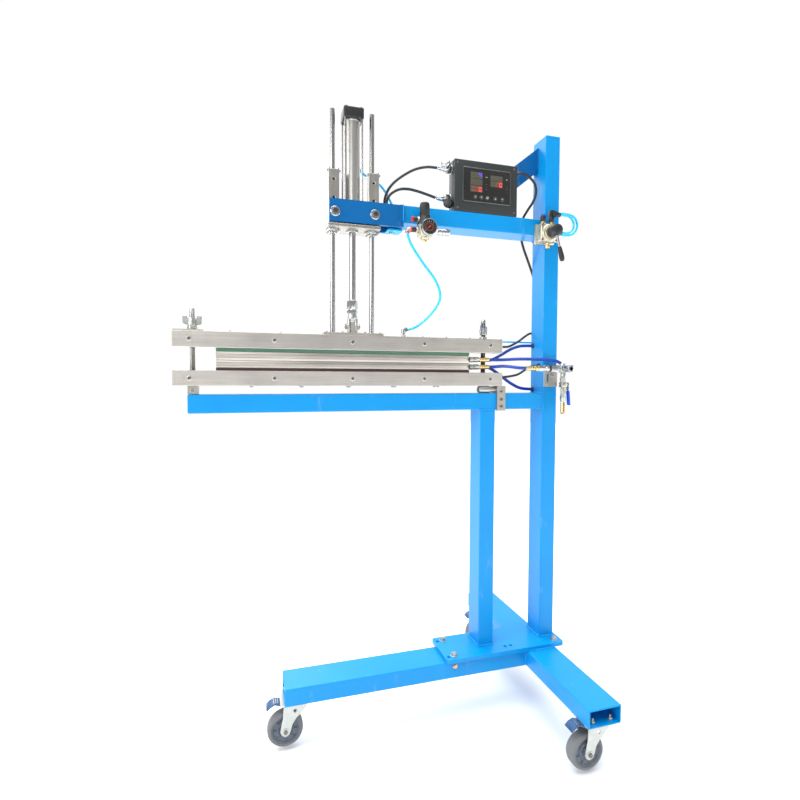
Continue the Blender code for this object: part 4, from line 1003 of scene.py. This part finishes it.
# Control box
def makeControlBox():
    low, high = nodeBox("control_box")
    panelLow, panelHigh = nodeBox("control_panel")
    seam = low.y + 0.0075
    shape = Shape("control_box_housing")
    shape.block(boxPaint, (low.x, high.x), (low.y, seam), (low.z, high.z), 0.0024, segments=3)
    shape.block(blackPlastic, (low.x + 0.0012, high.x - 0.0012), (seam - 0.001, seam + 0.0014),
                (low.z + 0.0012, high.z - 0.0012), 0)
    shape.block(boxPaint, (low.x, high.x), (seam + 0.001, high.y), (low.z, high.z), 0.0024, segments=3)
    for x in (low.x + 0.0085, high.x - 0.0085):
        for z in (low.z + 0.0085, high.z - 0.0085):
            shape.capScrew(darkSteel, "-y", (x, low.y, z), 0.0024, 0.001)
    edge = 0.0034
    outer = roundedBox((panelLow.x - edge, panelHigh.x + edge), (panelLow.z - edge, panelHigh.z + edge),
                       0.004)
    inner = roundedBox((panelLow.x, panelHigh.x), (panelLow.z, panelHigh.z), 0.002)
    shape.plate(boxPaint, outer, 0.0024, "y", low.y - 0.0022, [inner], 0.0009)
    # the thin strips round the panel window: dark steel at the sides is painted shade, bright zinc along top
    # and bottom is painted highlight
    for x in (panelLow.x - 0.0016, panelHigh.x + 0.0016):
        shape.block(darkSteel, (x - 0.0004, x + 0.0004), (low.y - 0.0025, low.y - 0.0018),
                    (panelLow.z, panelHigh.z), 0.0002)
    for z in (panelLow.z - 0.0016, panelHigh.z + 0.0016):
        shape.block(zinc, (panelLow.x, panelHigh.x), (low.y - 0.0025, low.y - 0.0018),
                    (z - 0.0004, z + 0.0004), 0.0002)
    shape.done("control_box", "black_plastic")

    face = low.y - 0.0016
    shape = Shape("control_panel_face")
    shape.block(panelGlass, (panelLow.x, panelHigh.x), (face, low.y - 0.0001), (panelLow.z, panelHigh.z),
                0.0004)
    screens = [((-0.1909, -0.1592), (1.2901, 1.3384), 3), ((-0.138, -0.1055), (1.3066, 1.3349), 2)]
    for x, z, rows in screens:
        step = (z[1] - z[0]) / rows
        for k in range(rows):
            shape.block(filmGrey, x, (face - 0.0003, face + 0.0002),
                        (z[0] + k * step + 0.0006, z[0] + (k + 1) * step - 0.0006),
                        0.0002)

    def digit(coat, x, z, tall,
              lamps):  # seven lamp bars: across at top, middle and bottom, and four uprights
        wide, bar = tall * 0.5, tall * 0.075
        y = (face - 0.0006, face - 0.0002)
        for key, row in (("a", 1), ("g", 0), ("d", -1)):
            if key in lamps:
                mid, span = z + row * (tall / 2 - bar), (x - wide / 2 + bar * 0.6, x + wide / 2 - bar * 0.6)
                shape.block(coat, span, y, (mid - bar, mid + bar), 0.0001)
        for key, side, half in (("f", -1, 1), ("b", 1, 1), ("e", -1, -1), ("c", 1, -1)):
            if key in lamps:
                mid = x + side * (wide / 2 - bar * 0.2)
                ends = sorted((z + half * bar * 1.1, z + half * (tall / 2 - bar)))
                shape.block(coat, (mid - bar, mid + bar), y, ends, 0.0001)

    for coat, x, z, tall, lamps in (
            (violetGlow, -0.1655, 1.3315, 0.0105, "fgbc"), (dimGlow, -0.1835, 1.2975, 0.0105, "abcdef"),
            (dimGlow, -0.1745, 1.2975, 0.0105, "abcdef"), (redGlow, -0.1655, 1.2975, 0.011, "abcdef"),
            (dimGlow, -0.121, 1.3135, 0.01, "abged"), (redGlow, -0.111, 1.3135, 0.011, "abcdef")):
        digit(coat, x, z, tall, lamps)
    # Touch marks: triangles that point up or down, and one ring
    for x, mark in ((-0.1776, "up"), (-0.1618, "down"), (-0.1458, "ring"), (-0.1244, "up"),
                    (-0.1054, "down")):
        shape.turned(filmGrey, "-y", (x, face, 1.279), [
            (0, 0.0034), (0.0003, 0.0042), (0.0004, 0.0047), (0, 0.005)], 24, closed=True)
        if mark == "ring":
            shape.turned(markWhite, "-y", (x, face, 1.279), [
                (0, 0.0014), (0.0005, 0.0016), (0.0005, 0.0024), (0, 0.0026)], 20, closed=True)
        else:
            flat, tip = (1.2776, 1.2806) if mark == "up" else (1.2804, 1.2774)
            shape.plate(markWhite, [(x - 0.002, flat), (x + 0.002, flat), (x, tip)], 0.0004, "y",
                        face - 0.0005, (), 0)
    for x in (-0.149, -0.0945):
        for z in (1.299, 1.305, 1.311, 1.328):
            shape.block(markWhite if z > 1.32 else filmGrey, (x - 0.0024, x + 0.0024), (face - 0.0004, face),
                        (z - 0.0005, z + 0.0005), 0)
    shape.done("control_panel", "panel_glass")

    # Round connectors on the left side, and one on the right
    shape = Shape("heater_connectors")
    side = low.x
    for y, z in ((0.01, 1.345), (0.015, 1.276)):
        shape.turned(chrome, "-x", (side, y, z), [
            (0, 0.011), (0.002, 0.011), (0.0024, 0.0098), (0.005, 0.0098), (0.0054, 0.0104, ribbed(24, 0.05)),
            (0.016, 0.0104, ribbed(24, 0.05)), (0.0168, 0.0094), (0.021, 0.0088), (0.022, 0.0072),
            (0.03, 0.0066), (0.031, 0.0056), (0.037, 0.0052), (0.038, 0.004)], 48)
        shape.disc(brass, "-x", (side - 0.0205, y, z), 0.0012, 0.009)
        shape.disc(bluePlastic, "-x", (side - 0.03, y, z), 0.0012, 0.006)
    way = Vector((-0.62, -0.72, 0.3)).normalized()
    shape.turned(chrome, tuple(way), (-0.244, 0.008, 1.35), [
        (0, 0.01), (0.006, 0.0104), (0.011, 0.0112), (0.013, 0.0112), (0.014, 0.0104)], 32)
    shape.turned(zinc, tuple(way), Vector((-0.244, 0.008, 1.35)) + way * 0.0138, [
        (0, 0.0104), (0.0016, 0.0103), (0.003, 0.009), (0.0036, 0.006), (0.0038, 0.0)], 32)
    way = Vector((-0.66, -0.74, -0.1)).normalized()
    spot = Vector((-0.238, 0.006, 1.261))
    shape.turned(blackPlastic, tuple(way), spot, [
        (0, 0.0096), (0.006, 0.01), (0.007, 0.0106, ribbed(20, 0.05)), (0.014, 0.0106, ribbed(20, 0.05)),
        (0.0152, 0.0098), (0.016, 0.008), (0.016, 0.0)], 40)
    shape.done(slot="steel")
    shape = Shape("power_gland")
    shape.hexBolt(blackPlastic, "x", (high.x, 0.012, 1.354), 0.013, 0.004)
    shape.turned(blackPlastic, "x", (high.x + 0.0036, 0.012, 1.3542),
                 [(0, 0.0058), (0.004, 0.0056), (0.0075, 0.0036)], 24)
    shape.turned(redPlastic, "x", (high.x, 0.006, 1.326), [(0, 0.005), (0.004, 0.005), (0.005, 0.004),
        (0.005, 0.0)], 24)
    shape.done(slot="black_plastic")


makeControlBox()
print("control box is made")


# Regulator with its gauge
def makeRegulator():
    knob, gauge = nodeBox("regulator_knob"), middle("pressure_gauge")
    x, y = middle("regulator_knob").x, middle("regulator_knob").y
    shape = Shape("regulator_casting")
    shape.turned(castMetal, "z", (x, y, 1.158), [
        (0, 0.009), (0.001, 0.01), (0.005, 0.0104), (0.006, 0.015), (0.009, 0.0172), (0.03, 0.0176),
        (0.032, 0.0168), (0.0325, 0.015)], 36)
    for sign in (-1, 1):
        shape.block(castMetal, sorted((x + sign * 0.008, x + sign * 0.0176)), (y - 0.011, y + 0.011),
                    (1.1665, 1.1905), 0.002)
    shape.turned(blackPlastic, "z", (x, y, 1.19), [
        (0, 0.0165), (0.001, 0.0172, ribbed(8, 0.05)), (0.0075, 0.0172, ribbed(8, 0.05)), (0.01, 0.0158),
        (0.017, 0.014), (0.02, 0.0128), (0.023, 0.0124), (0.0233, 0.0)], 40)
    shape.block(blackPlastic, (x - 0.01, x + 0.01), (y + 0.01, -0.0103), (1.204, 1.211), 0.0015)
    for k in range(4):
        angle = math.radians(45 + 90 * k)
        shape.capScrew(chrome, "z", (x + 0.0136 * math.cos(angle), y + 0.0136 * math.sin(angle), 1.1975),
                       0.0018, 0.002)
    shape.turned(brass, "-z", (x, y, 1.1585), [(0, 0.005), (0.004, 0.005), (0.005, 0.004), (0.005, 0)], 20)
    bend = [(x - 0.035 - 0.006 * math.sin(a), y, 1.174 + 0.006 * math.cos(a)) for a in (0, 0.4, 0.8, 1.2,
        1.5708)]
    shape.sweep(castMetal, [(x - 0.03, y, 1.18)] + bend + [(x - 0.041, y, 1.1715)], 0.0046, 16)
    shape.turned(redPlastic, "-z", (x - 0.041, y, 1.1735), [(0, 0.005), (0.0004, 0.0058), (0.002, 0.0058),
        (0.0024, 0.0031)], 24)
    for z, reach in ((1.203, 0.012), (1.18, 0.015)):
        shape.hexBolt(zinc, "-x", (x - reach, y, z), 0.0115, 0.006)
        shape.turned(blackPlastic, "-x", (x - reach - 0.0058, y, z),
                     [(0, 0.006), (0.009, 0.006), (0.01, 0.0054)], 24)
        shape.turned(redPlastic, "-x", (x - reach - 0.0156, y, z), [
            (0, 0.0048), (0.001, 0.0048), (0.0012, 0.0066), (0.003, 0.0066), (0.0034, 0.006),
            (0.0034, 0.0031)], 24)
    shape.turned(chrome, "x", (x + 0.016, y, 1.1785), [
        (0, 0.007), (0.003, 0.007), (0.0032, 0.0088, hexForm), (0.013, 0.0088, hexForm), (0.0134, 0.0072),
        (0.015, 0.0072), (0.0152, 0.009), (0.023, 0.009), (0.0234, 0.0078), (0.0262, 0.0078),
        (0.0264, 0.0092), (0.03, 0.0092), (0.0304, 0.008), (0.033, 0.008), (0.0332, 0.0092), (0.04, 0.0092),
        (0.042, 0.0084), (0.0445, 0.0078), (0.0445, 0.0048), (0.033, 0.0048), (0.033, 0.0)], 24)
    # a black disc at the bottom of the outlet's bore, painted shade
    shape.disc(holeShade, "x", (x + 0.033 + 0.0165, y, 1.1785), 0.0004, 0.0046, 20)
    shape.done("regulator_body", "cast_body")

    shape = Shape("regulator_grip", "regulator_knob")
    low, tall = knob[0].z, knob[1].z - knob[0].z
    shape.turned(blackPlastic, "z", (x, y, low), [
        (0, 0.01), (0.001, 0.0108), (0.003, 0.0108), (0.0034, 0.0116, ribbed(24, 0.07)),
        (tall - 0.006, 0.0114, ribbed(24, 0.07)), (tall - 0.004, 0.011), (tall - 0.0012, 0.0104),
        (tall, 0.0092), (tall, 0.007), (tall - 0.0012, 0.0066), (tall - 0.0012, 0.0)], 96)
    shape.block(chrome, (x - 0.0006, x + 0.0006), (y - 0.006, y), (knob[1].z - 0.0013, knob[1].z - 0.0008), 0)
    shape.done("regulator_knob", "black_plastic")

    shape = Shape("pressure_gauge_dial")
    front, back = nodeBox("pressure_gauge")[0].y, nodeBox("pressure_gauge")[1].y
    deep, x, z = back - front, gauge.x, gauge.z
    shape.turned(darkSteel, "-y", (x, back, z), [
        (0, 0.007), (0.001, 0.015), (0.003, 0.0172), (deep - 0.005, 0.0172), (deep - 0.0045, 0.0166)], 48)
    shape.turned(chrome, "-y", (x, back, z), [
        (deep - 0.006, 0.0165), (deep - 0.006, 0.018), (deep - 0.005, 0.0184), (deep - 0.0012, 0.0184),
        (deep, 0.0176), (deep - 0.0002, 0.0162), (deep - 0.0022, 0.0156),
        (deep - 0.004, 0.0156)], 48, closed=True)
    dial = front + 0.0032
    shape.disc(blackPlastic, "-y", (x, dial + 0.0012, z), 0.0012, 0.016, 40)
    for k in range(13):
        angle = math.radians(225 - 270 * k / 12)
        long = 0.0026 if k % 3 == 0 else 0.0016
        coat = markWhite if k < 9 else redPlastic
        spot = Vector((x + math.cos(angle) * (0.0138 - long / 2), dial - 0.0002,
                       z + math.sin(angle) * (0.0138 - long / 2)))
        shape.block(coat, (spot.x - long / 2, spot.x + long / 2), (spot.y - 0.0002, spot.y + 0.0002),
                    (spot.z - 0.0003, spot.z + 0.0003), 0, ("y", -math.degrees(angle), spot))
    shape.turned(copper, "-y", (x, dial, z), [(0, 0.0092), (0.0002, 0.0092), (0.0002, 0.0084), (0, 0.0084)],
                 40, closed=True)
    needle = [(-0.006, -0.0007), (0.0112, -0.0003), (0.0118, 0.0), (0.0112, 0.0003), (-0.006, 0.0007)]
    angle = math.radians(222)
    points = [(x + a * math.cos(angle) - b * math.sin(angle),
               z + a * math.sin(angle) + b * math.cos(angle)) for a, b in needle]
    shape.plate(redPlastic, points, 0.0005, "y", dial - 0.0012, (), 0)
    shape.turned(redPlastic, "-y", (x, dial, z), [(0, 0.0016), (0.0016, 0.0016), (0.0019, 0.001),
                                                  (0.0019, 0)], 20)
    shape.done("pressure_gauge", "black_plastic")


# Hand valve
def makeHandValve():
    hubX, hubZ = 0.0106, 1.2005
    shape = Shape("hand_valve_casting")
    shape.block(castMetal, (-0.016, 0.036), (-0.02, -0.0103), (1.178, 1.226), 0.0018)
    shape.block(castMetal, (-0.0135, 0.034), (-0.04, -0.0195), (1.1805, 1.224), 0.004, segments=3)
    shape.turned(castMetal, "-y", (hubX, -0.038, hubZ), [
        (0, 0.0225), (0.003, 0.0222), (0.005, 0.0208), (0.006, 0.019), (0.0064, 0.0168), (0.01, 0.0158),
        (0.01, 0.0)], 40)
    for a, b in ((-0.0105, 1.1835), (-0.0105, 1.2205), (0.031, 1.1835), (0.031, 1.2205)):
        shape.capScrew(darkSteel, "-y", (a, -0.0398, b), 0.0026, 0.0022)
    # a black dot on the casting, painted shade for a small hole
    shape.disc(holeShade, "-y", (-0.012, -0.02, 1.188), 0.0003, 0.0019, 16)
    for x, y in ((-0.002, -0.028), (0.022, -0.028)):
        shape.hexBolt(brass, "z", (x, y, 1.2255), 0.012, 0.005)
        shape.turned(blackPlastic, "z", (x, y, 1.23), [
            (0, 0.0058), (0.001, 0.0066), (0.013, 0.0068), (0.015, 0.006), (0.016, 0.0045), (0.016, 0)], 28)
    shape.turned(bluePlastic, "z", (-0.002, -0.028, 1.2458), [
        (0, 0.005), (0.001, 0.0054), (0.0026, 0.0054), (0.003, 0.0046), (0.003, 0.003),
        (0.0, 0.003)], 24, closed=True)
    shape.block(blackPlastic, (0.016, 0.03), (-0.0345, -0.0215), (1.2415, 1.2605), 0.003)
    shape.turned(blackPlastic, "x", (0.029, -0.028, 1.2547), [(0, 0.006), (0.005, 0.0058), (0.006, 0.005)],
                 24)
    shape.block(blackPlastic, (0.02, 0.0345), (-0.043, -0.032), (1.2425, 1.2535), 0.0026)
    shape.turned(blackPlastic, "x", (0.0335, -0.037, 1.248), [(0, 0.0056), (0.0065, 0.0054),
        (0.0075, 0.0046)], 24)
    for y, z in ((-0.024, 1.204), (-0.037, 1.205)):
        shape.turned(blackPlastic, "x", (0.033, y, z), [(0, 0.0056), (0.011, 0.0056), (0.0125, 0.0048),
            (0.013, 0.0029)], 24)
    shape.hexBolt(brass, "-z", (hubX, -0.03, 1.1782), 0.012, 0.004)
    shape.turned(brass, "-z", (hubX, -0.03, 1.1745), [
        (0, 0.0048), (0.001, 0.0052), (0.008, 0.0052), (0.0092, 0.0044), (0.0092, 0.0028), (0.003, 0.0028),
        (0.003, 0)], 24)
    shape.turned(chrome, "x", (0.034, -0.03, 1.186), [(0, 0.005), (0.003, 0.005), (0.004, 0.004),
                                                      (0.004, 0)], 24)
    shape.done("hand_valve_body", "cast_body")

    shape = Shape("hand_valve_grip", "hand_valve_lever")
    shape.turned(blackPlastic, "-y", (hubX, -0.0485, hubZ), [
        (0, 0.0116), (0.001, 0.0124), (0.018, 0.013), (0.025, 0.013), (0.028, 0.0122), (0.0296, 0.0096),
        (0.0298, 0.0)], 40)
    tilt = math.radians(15)
    way = Vector((math.sin(tilt), 0, -math.cos(tilt)))
    root = Vector((hubX, -0.066, hubZ))
    shape.turned(chrome, tuple(way), root + way * 0.008, [(0, 0.003), (0.034, 0.0026)], 20)
    grip = [(0.04, 0.0036), (0.0415, 0.0044), (0.05, 0.0053), (0.062, 0.0062), (0.069, 0.0062),
            (0.0735, 0.005),
            (0.0755, 0.003), (0.076, 0.0)]
    shape.turned(blackPlastic, tuple(way), root, grip, 28)
    shape.done("hand_valve_lever", "black_plastic")


# Water manifold, drain valve and its lever
def makeManifold():
    x, y, z = 0.058, -0.035, 0.866
    shape = Shape("water_manifold_fittings")
    shape.turned(brass, "x", (-0.049, y, z + 0.001), [
        (0, 0.004), (0.001, 0.0052), (0.023, 0.0054), (0.0236, 0.0048), (0.026, 0.0048),
        (0.0264, 0.007, hexForm), (0.033, 0.007, hexForm), (0.0334, 0.0056), (0.036, 0.0056)], 24)
    for k in range(3):
        shape.turned(brass, "x", (-0.045 + k * 0.0055, y, z + 0.001),
                     [(0, 0.0052), (0.0006, 0.0058), (0.0018, 0.0058),
                                                                       (0.0024, 0.0052)], 24)
    shape.turned(chrome, "x", (-0.014, y, z + 0.001), [
        (0, 0.006), (0.001, 0.008, hexForm), (0.012, 0.008, hexForm), (0.013, 0.0066), (0.02, 0.0066),
        (0.021, 0.008), (0.033, 0.008), (0.034, 0.007), (0.04, 0.007)], 24)
    shape.block(chrome, (0.02, 0.042), (y - 0.008, y + 0.008), (z - 0.008, z + 0.009), 0.0022)
    shape.turned(blackPlastic, "x", (0.015, y, z + 0.001), [(0, 0.0086), (0.004, 0.0086), (0.0048, 0.0078)],
                 28)
    shape.block(zinc, (0.046, 0.066), (y - 0.0085, y + 0.0085), (z - 0.0088, z + 0.0092), 0.0028, segments=3)
    shape.turned(zinc, "x", (0.04, y, z), [(0, 0.0076), (0.007, 0.0076)], 24)
    shape.hexBolt(zinc, "z", (x - 0.002, y, z + 0.0085), 0.013, 0.0052)
    shape.block(castMetal, (0.024, 0.05), (y + 0.007, -0.0137), (z - 0.0065, z + 0.008), 0.0015)
    shape.turned(chrome, "-y", (x, y - 0.008, z), [
        (0, 0.0086), (0.002, 0.0086), (0.0024, 0.0078), (0.004, 0.0078), (0.0044, 0.0092), (0.018, 0.0092),
        (0.0184, 0.0082), (0.0196, 0.0082), (0.02, 0.0095), (0.0262, 0.0095), (0.0272, 0.0088),
        (0.0275, 0.0068), (0.0262, 0.006), (0.0262, 0.0048), (0.01, 0.0044), (0.01, 0.0)], 32)
    # a black disc at the bottom of the fitting's bore, painted shade
    shape.disc(holeShade, "-y", (x, y - 0.0185, z), 0.0004, 0.0044, 20)
    shape.turned(blackPlastic, "-y", (x, y - 0.031, z), [(0, 0.0047), (0.003, 0.0047), (0.003, 0.0036),
        (0, 0.0036)], 24,
                 closed=True)
    shape.turned(zinc, "-z", (x, y, z - 0.008), [
        (0, 0.0066), (0.003, 0.0066), (0.0034, 0.0078, hexForm), (0.01, 0.0078, hexForm), (0.0104, 0.0062),
        (0.013, 0.0062), (0.0134, 0.0076, ribbed(22, 0.06)), (0.027, 0.0076, ribbed(22, 0.06)),
        (0.0274, 0.0064), (0.033, 0.0064)], 44)
    shape.turned(brass, "-z", (x, y, z - 0.04), [
        (0, 0.006), (0.001, 0.0074, hexForm), (0.008, 0.0074, hexForm), (0.009, 0.0056), (0.012, 0.0056)], 24)
    shape.turned(zinc, "-z", (x, y, z - 0.051), [
        (0, 0.006), (0.0004, 0.0078, hexForm), (0.012, 0.0078, hexForm), (0.0126, 0.006), (0.018, 0.006),
        (0.019, 0.007), (0.03, 0.0066), (0.032, 0.005)], 24)
    shape.block(zinc, (x - 0.0078, x + 0.0074), (y - 0.008, y + 0.008), (0.819, 0.833), 0.003, segments=3)
    for k in range(5):
        shape.turned(brass, "-z", (x, y, 0.782 - k * 0.0052),
                     [(0, 0.0046), (0.0046, 0.0058), (0.005, 0.0046)], 24)
    shape.turned(copper, "-z", (x, y, 0.779), [(0, 0.0046), (0.0266, 0.0044), (0.0266, 0.0026),
                                               (0.02, 0.0026), (0.02, 0)], 24)
    shape.disc(chrome, "x", (0.0655, y, z + 0.0002), 0.0012, 0.005, 20)
    shape.done("water_manifold", "brass")

    shape = Shape("drain_lever_handle", "ball_valve_lever")
    stem = x + 0.0081
    shape.hexBolt(zinc, "x", (stem, y, 0.826), 0.008, 0.0052)
    shape.turned(zinc, "x", (stem + 0.005, y, 0.826), [(0, 0.003), (0.0026, 0.003), (0.003, 0.0024),
                                                       (0.003, 0)], 20)
    knee = Vector((stem + 0.0058, y, 0.82))
    shape.plate(zinc, roundedBox((y - 0.0054, y + 0.0054), (0.812, 0.832), 0.003), 0.0012, "x", stem + 0.0052,
                [(y, 0.826, 0.0024)], 0.0003)
    shape.block(zinc, (knee.x - 0.0006, knee.x + 0.0006), (y - 0.0042, y + 0.0042), (0.78, 0.816), 0.0004,
                ("y", -5, knee))
    shape.block(bluePlastic, (knee.x - 0.0022, knee.x + 0.0022), (y - 0.006, y + 0.006), (0.774, 0.811),
                0.0018,
                ("y", -5, knee), 3)
    shape.done("ball_valve_lever", "blue_hose")

    low, high = nodeBox("manifold_bracket")
    shape = Shape("slotted_bracket")
    slotHole = roundedBox((0.0252, 0.0302), (0.834, 0.854), 0.0024)
    shape.plate(blockMetal, roundedBox((low.x, high.x), (low.z, high.z), 0.0012, 3), high.y - low.y, "y",
                low.y, [slotHole], 0.0004)
    for a, b in ((0.0405, 0.85), (0.0262, 0.828)):
        shape.capScrew(zinc, "-y", (a, low.y, b), 0.0036, 0.003)
    # a black dot on the bracket, painted shade for a small hole
    shape.disc(holeShade, "-y", (0.05, low.y, 0.828), 0.0002, 0.0016, 16)
    shape.done("manifold_bracket", "aluminium")


makeRegulator()
makeHandValve()
makeManifold()
print("air and water fittings are made")


def makeFloor():
    mix = Finish("floorPaper")
    cloud = mix.noise(3, 2)
    paper = mix.shade(Base_Color=mix.blend(cloud, (0.86, 0.86, 0.86, 1), (0.9, 0.9, 0.9, 1)),
                      Roughness=cloud * 0.1 + 0.7)
    shape = Shape("floorSheet", None)
    shape.disc(paper, "-z", Vector((0, 0, -0.0004)), 0.01, 9.0, 64)
    floor = shape.done()


makeFloor()
